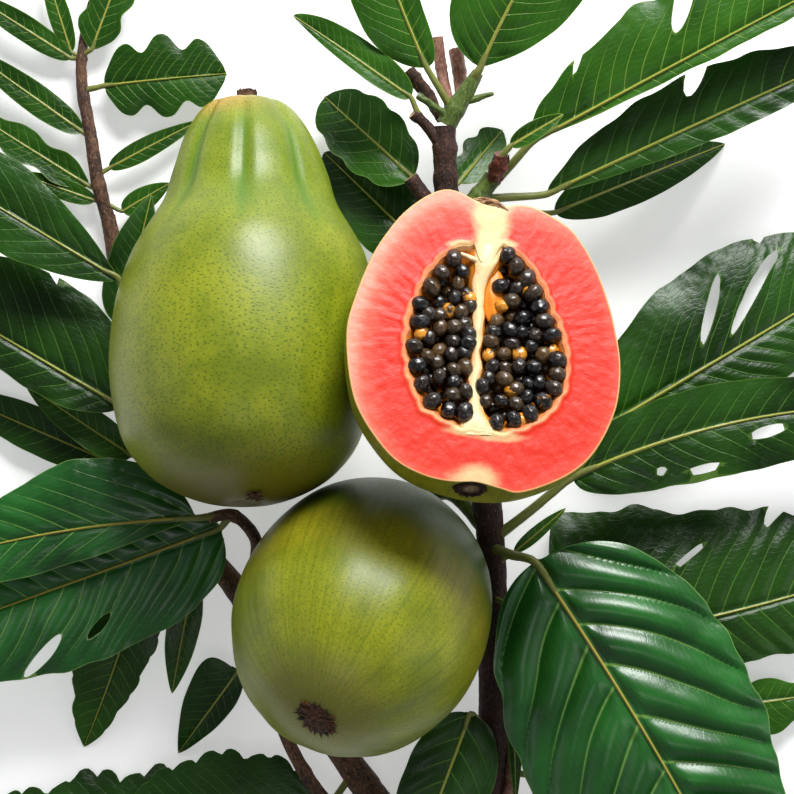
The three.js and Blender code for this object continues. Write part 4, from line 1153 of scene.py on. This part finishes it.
# The hollow's edge on the cut face goes round it to the left from the right side, and a tongue of
# the core hangs into it at the top.
flesh = {
    "hollowShare": 0.22, "faceShare": 0.6, "rimShare": 0.63, "rimRounding": 0.5,
    "ragged": 0.8, "scallop": 0.9, "scallops": 29,
    "hollow": [
        (33.6, 2), (32, 6.5), (29, 15), (26, 23.5), (22, 31.5), (18, 37.5), (12.5, 41.8), (8.4, 44),
        (6.4, 40.5), (4.2, 36), (2.2, 34.5), (-0.6, 34.5), (-2, 38), (-2.6, 44.4), (-7.5, 43.6),
        (-12.8, 41), (-20, 34), (-24.8, 25.5), (-29, 15), (-31.5, 4.5), (-32, -2), (-31, -9.5),
        (-28.5, -19), (-24.5, -27.5), (-17.5, -32), (-11.5, -34.5), (-6.5, -35.4), (-1, -35),
        (4, -37), (11.5, -36), (20.5, -32.5), (27.5, -26), (32.5, -18), (34.2, -9.5), (34, -3),
    ],
}


def hollowTable():
    middle = halfFruit["hollowMiddle"]
    spots = [Vector((x - middle.x, y - middle.y)) for x, y in flesh["hollow"]]
    turns = [math.atan2(spot.y, spot.x) % (2 * math.pi) for spot in spots]
    pairs = sorted(zip(turns, [spot.length for spot in spots]))
    return [pair[0] for pair in pairs], [pair[1] for pair in pairs]


hollowTurns, hollowReach = hollowTable()


def hollowEdge(turn):
    # the seed hollow's edge from its middle, ragged and scalloped by the seeds
    reach = np.interp(turn % (2 * math.pi), hollowTurns, hollowReach, period=2 * math.pi)
    ragged = noise.noise(Vector((math.cos(turn) * 5, math.sin(turn) * 5, 3))) * flesh["ragged"]
    bite = flesh["scallop"] * (abs(math.sin(turn * flesh["scallops"] / 2)) - 0.6)
    return Vector((math.cos(turn), math.sin(turn), 0)) * (reach + ragged + bite)


def fleshMaterial():
    # ripe papaya flesh: wet and soft, pink under the rind and red towards the hollow, with fine
    # radial fibres, a thin pale line under the rind, and cream strands at both ends
    material, tree, shader = newMaterial("ripePapayaFlesh", 0.42, 1.33)
    fromRim, fromHollow, _ = partsOf(tree, layerVector(tree, "fleshGaps"))
    face = layerVector(tree, "faceSpot")
    across, up, _ = partsOf(tree, face)
    cloudy = grainOver(tree, face, 75.0, 6.0, 0.62)
    wobble = calc(tree, "MULTIPLY_ADD", cloudy, 11.0, -5.5)
    # fibres about a millimetre wide that run out from the hollow
    ray = layerVector(tree, "fleshRay")
    spread = addNode(tree, "Mapping", Scale=(38.0, 38.0, 0.16), Vector=ray)
    fibres = addNode(tree, "TexNoise", Scale=1.0, Detail=4.0, Distortion=0.5, Vector=spread)
    # pinker at the upper left, redder towards the lower right
    sideways = calc(tree, "MULTIPLY", across, 0.9)
    slanting = calc(tree, "MULTIPLY_ADD", up, -0.75, sideways)
    redness = remap(tree, slanting, -0.05, 0.02)
    lowness = calc(tree, "MULTIPLY_ADD", redness, 10.0, -2.0)
    depthIn = calc(tree, "MULTIPLY_ADD", wobble, 0.45, fromRim)
    depthLow = calc(tree, "ADD", depthIn, lowness)
    streaked = calc(tree, "MULTIPLY_ADD", fibres, 4.0, depthLow)
    pink = remap(tree, depthLow, -1.0, 7.0, soft=True)
    outer = blend(tree, pink, "#dd9078", "#d65842")
    red = remap(tree, streaked, 5.5, 17.0, soft=True)
    coral = blend(tree, red, outer, "#cc2813")
    rimShare = remap(tree, fromRim, 0.15, 0.8, 0.8, 0.0, soft=True)
    rimmed = blend(tree, rimShare, coral, "#d8a768")
    # orange lining of the hollow and just round it
    roughGap = calc(tree, "MULTIPLY_ADD", wobble, 0.22, fromHollow)
    lining = remap(tree, roughGap, 0.6, 3.2, 0.9, 0.0, soft=True)
    lined = blend(tree, lining, rimmed, "#e39a66")
    inside = remap(tree, fromHollow, -2.5, -0.4, 1.0, 0.0)
    colour = blend(tree, inside, lined, "#dc7d1c")
    # cream cores: place, half width and half height on the cut face in metres, and strength
    cores = (
        (0.0042, 0.0590, 0.0085, 0.0115, 1.0), (0.0030, 0.0470, 0.0068, 0.0100, 1.0),
        (0.0018, 0.0380, 0.0060, 0.0090, 1.0),
        (-0.0085, 0.0440, 0.0070, 0.0020, 0.7), (0.0105, 0.0450, 0.0050, 0.0022, 0.7),
        (-0.0038, -0.0572, 0.0100, 0.0058, 0.8),
        (-0.0035, -0.0368, 0.0130, 0.0028, 0.95), (0.0060, -0.0395, 0.0110, 0.0022, 0.7),
    )
    for x, y, wide, high, share in cores:
        moved = addNode(tree, "Mapping", vector_type="TEXTURE", Location=(x, y, 0.0),
                        Scale=(wide, high, 1.0), Vector=face)
        flat = addNode(tree, "VectorMath", moved, (1.0, 1.0, 0.0), operation="MULTIPLY")
        far = addNode(tree, "VectorMath", flat, operation="LENGTH")
        rough = calc(tree, "MULTIPLY_ADD", wobble, 0.1, far)
        core = remap(tree, rough, 0.4, 1.3, share, 0.0, soft=True)
        colour = blend(tree, core, colour, "#d9c28c")
    shader.inputs["Subsurface Weight"].default_value = 0.12
    shader.inputs["Subsurface Radius"].default_value = (1.0, 0.35, 0.2)
    shader.inputs["Subsurface Scale"].default_value = 0.003
    grain = grainOver(tree, face, 420.0, 4.0)
    height = calc(tree, "MULTIPLY_ADD", fibres, 0.6, grain)
    paint(tree, shader, colour, height, 0.25, 0.0006)
    return material


def addHalfFruit():
    # one closed skin from the pole inwards: hollow, cut face, rounded rim, rind
    piece = addPoints("uv_sphere", segments=240, ring_count=170, radius=1)
    piece.name = "dressed_half_fruit"
    mesh = piece.data
    start = halfFruit["hollowMiddle"]
    deep = halfFruit["hollowDepth"]
    r = flesh["rimRounding"]
    stages, turns = [], []
    directions = np.zeros((len(mesh.vertices), 3))
    flat = np.zeros((len(mesh.vertices), 3))
    for vertex in mesh.vertices:
        k = math.acos(min(max(vertex.co.z, -1), 1)) / math.pi
        turn = math.atan2(vertex.co.y, vertex.co.x)
        edge = hollowEdge(turn)
        ray = edge.normalized()
        below = max(k - flesh["rimShare"], 0) / (1 - flesh["rimShare"]) * math.pi / 2
        flat[vertex.index] = ray
        directions[vertex.index] = ray * math.cos(below) + Vector((0, 0, -math.sin(below)))
        stages.append(k)
        turns.append((turn, edge, ray))
    reaches, rims = reachHalf(directions), reachHalf(flat)
    layerNames = ("skinTone", "fleshGaps", "fleshRay", "faceSpot")
    for layerName in layerNames:
        mesh.attributes.new(layerName, "FLOAT_VECTOR", "POINT")
    tone, gaps, rays, faceSpot = (mesh.attributes[layerName] for layerName in layerNames)
    for vertex in mesh.vertices:
        i = vertex.index
        k = stages[i]
        turn, edge, ray = turns[i]
        rim = rims[i]
        inner = edge.length
        fromRim, fromHollow, far = 60.0, 60.0, inner
        if k < flesh["hollowShare"]:
            sink = math.sin(k / flesh["hollowShare"] * math.pi / 2)
            spot = edge * sink + Vector((0, 0, -(deep - 1.5) * max(1 - sink * sink, 0) ** 0.8))
            fromHollow = spot.z
        elif k < flesh["faceShare"]:
            f = (k - flesh["hollowShare"]) / (flesh["faceShare"] - flesh["hollowShare"])
            far = inner + (rim - r - inner) * f
            fromRim, fromHollow = rim - far, far - inner
            soft = 0.5 * math.exp(-((fromHollow - 1.6) / 1.5) ** 2) - 0.7 * math.exp(-fromHollow / 0.7)
            grain = noise.fractal(Vector((ray.x * 26, ray.y * 26, far / 9)), 0.8, 2.1, 3) * 0.22
            spot = ray * far + Vector((0, 0, soft + grain * smooth(0, 3, fromRim)))
        elif k < flesh["rimShare"]:
            f = (k - flesh["faceShare"]) / (flesh["rimShare"] - flesh["faceShare"]) * math.pi / 2
            spot = ray * (rim - r + r * math.sin(f)) + Vector((0, 0, -r + r * math.cos(f)))
            fromRim, far = 0, rim
        else:
            spot = Vector(directions[i]) * reaches[i]
            spot.z = min(spot.z, -r)
            fromRim, far = spot.z, rim
        spot += start
        tone.data[i].vector = (0.0, 0.25, 0.0)
        gaps.data[i].vector = (fromRim, fromHollow, k)
        rays.data[i].vector = (ray.x, ray.y, far)
        faceSpot.data[i].vector = spot * millimetre
        vertex.co = halfPlace(spot)
    unrollSkin(piece, [t[0] for t in turns], [-s * 60 for s in stages])
    mesh.materials.append(fleshMaterial())
    mesh.materials.append(skins["lowerFruitRind"])
    for face in mesh.polygons:
        k = sum(stages[i] for i in face.vertices) / len(face.vertices)
        face.material_index = 1 if k > flesh["rimShare"] - 0.008 else 0
    return piece


half = addHalfFruit()

# The strand of flesh between the seeds: its height on the face, its middle and its half width.
strand = {
    "places": [
        (-39, -1.5, 9), (-35, -3.6, 6), (-30, -3.5, 3.6), (-22, -3.6, 2.1), (-15, -4, 2.1),
        (-9.4, -2.6, 2.3), (-3, -2.9, 1.3), (3.3, -2, 1.9), (15, -1.5, 2.1), (24, -1.6, 2.2),
        (29, -1, 2.8), (33, 0.6, 3.5), (36, 1.4, 4.2), (40, 2.2, 5), (44, 3, 5.4), (50, 4, 5.4),
    ],
    "front": 0.45, "dip": 2.0, "dipReach": 33, "back": -19.0, "fit": 43, "bulge": 0.9,
    "notch": (43, 50, 2.2),
    "arm": [(-13.4, 41.2, -0.7, 0.5), (-8, 39.8, -1.1, 0.9), (-2, 37.2, -0.9, 1.3)],
    "pocket": {"middle": (5.2, 24.5, -6.2), "half": (5.4, 12.5, 3.4), "clear": (0, 9, 14, 37)},
}


def strandMaterial():
    # wet cream flesh at the cut, orange where it goes down between the seeds
    material, tree, shader = newMaterial("creamStrand", 0.38, 1.38)
    depth = partsOf(tree, layerVector(tree, "strandDepth"))[0]
    coords = addNode(tree, "TexCoord").outputs["Object"]
    mottle = grainOver(tree, coords, 190.0, 5.0, 0.65)
    uneven = calc(tree, "MULTIPLY_ADD", mottle, 3.0, depth)
    share = remap(tree, uneven, 1.3, 3.6, soft=True)
    colour = blend(tree, share, "#e2c999", "#df8524")
    shader.inputs["Subsurface Weight"].default_value = 0.12
    shader.inputs["Subsurface Scale"].default_value = 0.003
    paint(tree, shader, colour, mottle, 0.5, 0.0006)
    return material


def inFruit(points):
    # points of a tube, with its radius last, moved from the half fruit's own frame
    return [(*(halfTurn @ Vector(point[:3]) + halfFruit["middle"]), point[3]) for point in points]


def addStrand():
    flank = strandMaterial()
    wall = addPoints("cube", size=2)
    cutFiner(wall, 35)
    depths = wall.data.attributes.new("strandDepth", "FLOAT_VECTOR", "POINT")
    levels, middles, widths = zip(*strand["places"])
    notchStart, notchEnd, notchDepth = strand["notch"]
    for vertex in wall.data.vertices:
        x, y, z = vertex.co
        high = levels[0] + (levels[-1] - levels[0]) * (y + 1) / 2
        uneven = noise.fractal(Vector((x, high / 5, z * 2)), 0.8, 2, 3)
        width = np.interp(high, levels, widths)
        fit = math.sqrt(max(1 - (high / strand["fit"]) ** 2, 0.03))
        dip = strand["dip"] * max(1 - (high / strand["dipReach"]) ** 4, 0)
        front = strand["front"] - dip + uneven * 0.4
        front -= notchDepth * smooth(notchStart, notchEnd, high)
        bulge = strand["bulge"] * x * x * max(z, 0)
        level = front + (strand["back"] * fit - front) * (1 - z) / 2 - bulge
        spread = 1 + 0.7 * smooth(0, 6, front - level)
        side = np.interp(high, levels, middles) + x * width * spread + uneven * 0.5
        depths.data[vertex.index].vector = (front - level, 0, 0)
        vertex.co = halfPlace(Vector((side, high, level)))
    # the smooth orange flank at the strand's right, where no seeds sit
    flap = addPoints("uv_sphere", segments=48, ring_count=36, radius=1)
    depths = flap.data.attributes.new("strandDepth", "FLOAT_VECTOR", "POINT")
    pocket = strand["pocket"]
    for vertex in flap.data.vertices:
        depths.data[vertex.index].vector = (4 - 2.2 * max(vertex.co.z, 0), 0, 0)
        rough = 1 + 0.12 * noise.noise(vertex.co * 2)
        spot = Vector(a * b * rough for a, b in zip(vertex.co, pocket["half"]))
        vertex.co = halfPlace(spot + Vector(pocket["middle"]))
    arm = addTube("arm", inFruit(strand["arm"]), 16, 30, 0.2, 2.0, [])
    arm.data.attributes.new("strandDepth", "FLOAT_VECTOR", "POINT")
    for piece in (wall, flap, arm):
        piece.data.materials.append(flank)
    return wall, flap, arm


fibreCount = 9


def addFibres(draw):
    # dry fibres of the stalk that lie across the notch at the top of the cut face
    fibres = []
    for i in range(fibreCount):
        across, level = -3.4 + 0.7 * i + draw.uniform(-0.4, 0.4), -0.8 + draw.uniform(-0.9, 0.6)
        left = Vector((across, 65.2 - 0.42 * i, level))
        right = Vector((6 + 0.75 * i, 60.2 + draw.uniform(0, 1.3), -0.6 + draw.uniform(-0.9, 0.9)))
        top = left.lerp(right, 0.5) + Vector((0, draw.uniform(1.0, 2.8), draw.uniform(0.2, 1.2)))
        radius = draw.uniform(0.5, 0.85)
        path = [(*left, 0.6 * radius), (*top, radius), (*right, 0.45 * radius)]
        fibre = addTube("fibre", inFruit(path), 10, 18, 0.12, 2.0, [])
        fibre.data.materials.append(barks["dryFibres"])
        fibres.append(fibre)
    return fibres


draw = random.Random(11)
dressedHalf = joinPieces([half, *addStrand(), *addFibres(draw)], "dressed_half_fruit")
finishPiece(dressedHalf, ["half_fruit"])
print("half fruit is in")

# Seeds that show in front lie at these places on the cut face, edge ones first; those of "pulp"
# are still in their orange jelly. More lie loose below them.
seeds = {
    "edge": [
        (-11.8, 37), (-16.8, 30.6), (-21, 24), (-25.6, 16.5), (-25.6, 9), (-28, -1.5), (-27, -9.5),
        (-25, -17), (-21, -24.5), (-14.2, -28), (-8, -28.6), (5, -32), (11.8, -30.8), (18.5, -28),
        (24, -22.6), (28.4, -17), (30, -11), (30, -5), (28.2, 5.5), (25.2, 11.4), (23.2, 17.6),
        (20.8, 23.4), (18.2, 29.4), (14, 34.8), (10.6, 39.4),
    ],
    "inner": [
        (-8.5, 33), (-10, 27.5), (-11.5, 21.5), (-6.5, 23.5), (-18, 18.6), (-9, 14.5), (-5.4, 17.5),
        (-22.4, 13), (-18, 13), (-17.6, 7.6), (-12, 8), (-7.5, 10), (-5.8, 5.5), (-12.5, 2),
        (-18, -2.2), (-7.6, -2.4), (-6.4, 1.2), (-19, -8), (-13, -4), (-12, -10.5), (-18.4, -14),
        (-7.4, -9), (-12, -16), (-12.6, -21.6), (-7.4, -20), (-23, -5.4), (-22.4, 2.6), (7.9, 27),
        (12.5, 20.5), (17, 13.5), (11.5, 8), (6, 11.5), (17, 7), (4.8, 7), (12.5, 2), (20.8, 0.6),
        (3.4, 2.6), (4, -8.5), (9.5, -9), (8.6, -14), (13.5, -18), (-0.4, -17.5), (1, -23.4),
        (7.2, -23.6), (18.6, -15), (23.4, -14.6), (13.4, -24.4), (21, -8.4), (15, -8), (25, -3),
        (22.4, 6), (14.6, 26), (3, -3), (9, -2.6), (2.6, -13.4), (17.8, -21.6),
    ],
    "pulp": [
        (-25.4, 4.4), (29, -0.4), (15.5, -2.6), (-14, 15.2), (-5.4, 21), (2.6, -3.4), (12, -18.6),
        (15, -31.4), (8.6, 18.6), (20, 24.8),
    ],
    "half": (3.9, 3.2, 3.2), "wrinkle": 0.2,
    "levels": {"edge": -0.9, "inner": -2.8, "pulp": -2.4, "middle": -7.0, "bottom": -11.5},
    "size": {"edge": 1.13, "inner": 1.0, "pulp": 0.95, "middle": 0.95, "bottom": 1.0},
    "outward": 1.025,
    "detail": {"edge": 3, "inner": 3, "pulp": 3, "middle": 2, "bottom": 1},
    "fromWall": 5.5, "fromStrand": 3.4, "coveredShare": 0.16,
    "loose": {"edge": 0.4, "other": 1.1}, "brown": {"edge": 0.6, "other": 1.5},
}


def seedMaterial():
    # papaya seeds: a dark ridged coat in a wet jelly, some of them browner, some still in pulp
    material, tree, shader = newMaterial("wetSeedCoat", 0.2, 1.34, coat=0.7)
    brownShare, pulpTint, _ = partsOf(tree, layerVector(tree, "seedTint"))
    coords = addNode(tree, "TexCoord").outputs["Object"]
    folds = grainOver(tree, coords, 900.0, 4.0, 0.6)
    patches = grainOver(tree, coords, 260.0, 3.0)
    black = blend(tree, folds, "#010102", "#0e0c10")
    browner = calc(tree, "MULTIPLY", brownShare, patches, use_clamp=True)
    brown = blend(tree, browner, black, "#5f4522")
    covered = calc(tree, "ADD", pulpTint, patches)
    pulpShare = remap(tree, covered, 1.0, 1.16, soft=True)
    pulp = blend(tree, pulpShare, brown, "#d08a26")
    paint(tree, shader, pulp, folds, 0.8, 0.0005)
    return material


seedCoat = seedMaterial()


def addSeed(spot, kind, draw, tint, heading):
    # an egg with seven soft ridges along it and a wrinkled coat
    seed = addPoints("ico_sphere", subdivisions=seeds["detail"][kind], radius=1)
    layer = seed.data.attributes.new("seedTint", "FLOAT_VECTOR", "POINT")
    turn = Euler((draw.uniform(-0.4, 0.4), draw.uniform(-0.5, 0.5), heading)).to_matrix()
    away = Vector((draw.uniform(0, 90), draw.uniform(0, 90), draw.uniform(0, 90)))
    size = seeds["size"][kind] * draw.uniform(0.92, 1.08)
    for vertex in seed.data.vertices:
        x, y, z = vertex.co
        ridge = 0.05 * math.cos(7 * math.atan2(z, y) + 2 * x + away.x) * math.hypot(y, z)
        fold = abs(noise.noise(vertex.co * 2.6 + away)) * seeds["wrinkle"]
        scaled = Vector(a * b for a, b in zip(vertex.co, seeds["half"])) * size
        layer.data[vertex.index].vector = tint
        vertex.co = halfPlace(turn @ (scaled * (1 + ridge - fold)) + spot)
    return seed


def loosePlaces(draw, apart, tries):
    # places packed at random inside the hollow, clear of the strand and its flank
    levels, middles, widths = zip(*strand["places"])
    left, right, low, high = strand["pocket"]["clear"]
    start = halfFruit["hollowMiddle"]
    kept = []
    for _ in range(tries):
        turn, share = draw.uniform(0, 2 * math.pi), math.sqrt(draw.random())
        edge = hollowEdge(turn)
        spot = edge * share * (1 - seeds["fromWall"] / edge.length) + start
        gap = abs(spot.x - np.interp(spot.y, levels, middles)) - np.interp(spot.y, levels, widths)
        if gap < seeds["fromStrand"] or (left < spot.x < right and low < spot.y < high):
            continue
        if all(math.hypot(spot.x - x, spot.y - y) > apart for x, y in kept):
            kept.append((spot.x, spot.y))
    return kept


def addSeeds(draw):
    start = halfFruit["hollowMiddle"]
    layers = {kind: seeds[kind] for kind in ("edge", "inner", "pulp")}
    layers["middle"] = loosePlaces(draw, 5.0, 1500)
    layers["bottom"] = loosePlaces(draw, 5.2, 1500)
    sides = {"seeds_left": [], "seeds_right": []}
    for kind, places in layers.items():
        row = "edge" if kind == "edge" else "other"
        for x, y in places:
            name = "seeds_left" if x + 0.04 * y < -2.4 else "seeds_right"
            level = seeds["levels"][kind] + draw.uniform(-1, 1) * seeds["loose"][row]
            out = math.atan2(y - start.y, x - start.x) if kind == "edge" else draw.uniform(0, math.pi)
            some = kind != "pulp" and draw.random() < seeds["coveredShare"]
            covered = 0.62 if kind == "pulp" else 0.38 if some else 0.0
            brown = draw.random() ** 2 * seeds["brown"][row]
            if kind == "edge":
                x, y = x * seeds["outward"], y * seeds["outward"]
            spot = Vector((x, y, level))
            heading = out + draw.uniform(-0.4, 0.4)
            sides[name].append(addSeed(spot, kind, draw, (brown, covered, 0), heading))
    for name, parts in sides.items():
        print(name, "has", len(parts), "seeds")
        finishPiece(joinPieces(parts, "dressed_" + name, seedCoat), [name])


addSeeds(draw)

# Blossom scars: place and lean in the fruit's frame, and size. A row of dry bracts is its distance
# from the scar's middle in mm and how many stand there.
scars = {
    "whole": {
        "place": Vector((7, 4 - wholeFruit["bellyHeight"], 17)), "lean": math.radians(-20),
        "wide": 4.2, "high": 3.6, "heading": 0.0, "rows": [(0.9, 6), (2.4, 9)],
        "length": 2.8, "width": 0.5, "rise": 0.9,
    },
    "lower": {
        "place": Vector((0, -0.1 - lowerFruit["bellyHeight"], 0)), "lean": 0.0,
        "wide": 9.6, "high": 6.6, "heading": math.radians(38),
        "rows": [(1.0, 5), (2.8, 10), (4.6, 15), (6.4, 19)], "length": 3.1, "width": 0.72, "rise": 1.6,
    },
    "half": {
        "place": Vector((-4.9, -58.8, -6.9)), "lean": math.radians(-20),
        "wide": 7.3, "high": 6.2, "thick": 2.2, "dish": 1.3, "bracts": 22,
    },
}
# the cut stalk of the whole fruit, in mm from the fruit's blossom end
wholeStub = {"radius": 4.9, "taper": 0.5, "collar": 0.4, "foot": 178, "height": 13}


def scarPlace(scar, fruitPlace):
    # takes a scar's own frame, where -y points out of the fruit, to the fruit's place
    lean = Matrix.Rotation(scar["lean"], 3, "X")
    return lambda spot: fruitPlace(lean @ spot + scar["place"])


def addBract(place, turn, inner, length, width, rise):
    # a dry pointed bract: a cone drawn out flat, curled up a little at its tip
    bract = addPoints("cone", vertices=8, radius1=1, radius2=0.05, depth=1, end_fill_type="TRIFAN")
    cutFiner(bract, 5, lengthwise=True)
    for vertex in bract.data.vertices:
        x, y, z = vertex.co
        t = z + 0.5
        belly = 1 + 0.9 * math.sin(math.pi * min(t * 1.2, 1))
        lift = rise * t ** 1.5
        spot = Vector((inner.x + length * t, inner.y - y * width * 0.6 * belly - lift,
                       inner.z + x * width * belly))
        vertex.co = place(turn @ spot)
    return bract


def addTuft(name, place, scar, draw, node):
    widest = scar["rows"][-1][0]
    stretch = (Matrix.Rotation(scar["heading"], 3, "Y")
               @ Matrix.Diagonal((scar["wide"] / scar["high"], 1, 1)))
    core = addPoints("uv_sphere", segments=40, ring_count=24, radius=1)
    for vertex in core.data.vertices:
        x, y, z = vertex.co
        rough = 1 + 0.25 * noise.noise(Vector((x * 3, y * 3, z * 3)) + Vector((widest, 0, 0)))
        spot = Vector((x * widest * 0.95 * rough, -max(z, -0.6) * 1.1 * rough,
                       -y * widest * 0.95 * rough))
        vertex.co = place(stretch @ spot)
    parts = [core]
    for far, count in scar["rows"]:
        share = far / widest
        for i in range(count):
            angle = (i + draw.uniform(-0.35, 0.35)) / count * 2 * math.pi
            flat = stretch @ Vector((math.cos(angle) * far, 0, math.sin(angle) * far))
            at = flat * 0.82 + Vector((0, -0.9 + 0.5 * share, 0))
            turn = Matrix.Rotation(-math.atan2(at.z, at.x) + draw.uniform(-0.45, 0.45), 3, "Y")
            length = scar["length"] * (0.7 + 0.4 * share) * draw.uniform(0.8, 1.2)
            width = scar["width"] * draw.uniform(0.8, 1.25)
            rise = scar["rise"] * (1 - 0.75 * share) * draw.uniform(0.6, 1.3)
            parts.append(addBract(place, turn, turn.inverted() @ at, length, width, rise))
    return finishPiece(joinPieces(parts, name, barks["dryBracts"]), [node])


for fruit, fruitPlace in (("whole", wholePlace), ("lower", lowerPlace)):
    scar = scars[fruit]
    addTuft("dressed_" + fruit + "_fruit_scar", scarPlace(scar, fruitPlace), scar, draw,
            fruit + "_fruit_scar")


def addWholeStub():
    # the cut stalk: a corky collar with a broken end
    stub = addPoints("cylinder", vertices=32, radius=1, depth=1, end_fill_type="TRIFAN")
    cutFiner(stub, 7)
    for vertex in stub.data.vertices:
        x, y, z = vertex.co
        t = z + 0.5
        rough = 0.35 * noise.fractal(Vector((x * 3, y * 3, t * 1.5)), 0.7, 2, 4)
        collar = wholeStub["collar"] * math.exp(-((t - 0.95) / 0.08) ** 2)
        radius = wholeStub["radius"] - wholeStub["taper"] * t + collar + rough * 0.6
        crown = noise.noise(Vector((x * 4, y * 4, 7))) if t > 0.9 else 0
        high = wholeStub["foot"] + wholeStub["height"] * t + crown - wholeFruit["bellyHeight"]
        vertex.co = wholePlace(Vector((x * radius, high, -y * radius)))
    stub.data.materials.append(barks["scarCork"])
    return finishPiece(stub, ["whole_fruit_stub"])


def addHalfScar():
    # the blossom scar under the cut: an oval corky pad, tilted up, with a sunk pale middle
    pad = addPoints("uv_sphere", segments=56, ring_count=40, radius=1)
    tone = pad.data.attributes.new("skinTone", "FLOAT_VECTOR", "POINT")
    scar = scars["half"]
    padPlace = scarPlace(scar, halfPlace)
    for vertex in pad.data.vertices:
        x, y, z = vertex.co
        ring = math.hypot(x, y)
        rough = noise.fractal(Vector((x * 5, y * 5, z * 3)), 0.8, 2, 4)
        dish = scar["dish"] * math.exp(-(ring / 0.5) ** 2) if z > 0 else 0
        out = z * scar["thick"] - dish + rough * 0.45
        grow = 1 + rough * 0.07
        tone.data[vertex.index].vector = (ring, 0, 0)
        vertex.co = padPlace(Vector((x * scar["wide"] * grow, -out, -y * scar["high"] * grow)))
    # dark cork with a dry, paler middle
    material, tree, shader = newMaterial("blossomScarCork", 0.85, 1.4)
    ringPart = partsOf(tree, layerVector(tree, "skinTone"))[0]
    coords = addNode(tree, "TexCoord").outputs["Object"]
    cork = grainOver(tree, coords, 500.0, 5.0, 0.65)
    dark = blend(tree, cork, "#0c0503", "#3d2214")
    middle = remap(tree, ringPart, 0.18, 0.55, 1.0, 0.0, soft=True)
    patchy = calc(tree, "MULTIPLY", middle, cork)
    colour = blend(tree, patchy, dark, "#a58d6b")
    paint(tree, shader, colour, cork, 0.9, 0.0008)
    parts = [pad]
    for i in range(scar["bracts"]):
        angle = (i + draw.uniform(-0.3, 0.3)) / scar["bracts"] * 2 * math.pi
        turn = Matrix.Rotation(-angle, 3, "Y")
        inner = turn.inverted() @ Vector((math.cos(angle) * 4.6, -1.9, math.sin(angle) * 3.6))
        bract = addBract(padPlace, turn, inner, draw.uniform(2.2, 3.4), 0.6, draw.uniform(-1.4, 0.2))
        edgeTone = bract.data.attributes.new("skinTone", "FLOAT_VECTOR", "POINT")
        for spot in edgeTone.data:
            spot.vector = (1, 0, 0)
        parts.append(bract)
    return finishPiece(joinPieces(parts, "dressed_half_fruit_scar", material),
                       ["half_fruit_scar"])


addWholeStub()
addHalfScar()
print("scars and tufts are on")

# The bud on the right node, wrapped in scales that follow one another round it.
bud = {"points": [(43, 97, 48, 3.4), (45, 102, 52, 3.8), (46, 107, 55, 3.2)], "scales": 9}
budCore = addTube("dressed_leaf_bud", bud["points"], 24, 30, 0.2)
budParts = [budCore]
for i in range(bud["scales"]):
    t = 0.1 + 0.75 * i / bud["scales"]
    spot = alongPath(bud["points"], t)
    ahead = (alongPath(bud["points"], 1) - alongPath(bud["points"], 0)).normalized()
    side = ahead.cross(upward).normalized()
    around = Quaternion(ahead, i * 2.4) @ side
    turn = Matrix((around, around.cross(ahead), ahead)).transposed()

    def scalePlace(local, turn=turn, spot=spot, t=t):
        # in a bract's own frame x points along the scale and -y points out of the bud
        out = radiusAlong(bud["points"], t) * 0.9 - local.y
        return toFrame(spot + turn @ Vector((out, local.z, local.x)))

    budParts.append(addBract(scalePlace, Matrix.Identity(3), Vector((-1, 0, 0)), 4.6, 1.5, 0.2))
finishPiece(joinPieces(budParts, "dressed_leaf_bud", barks["redBudScales"]), ["leaf_bud"])
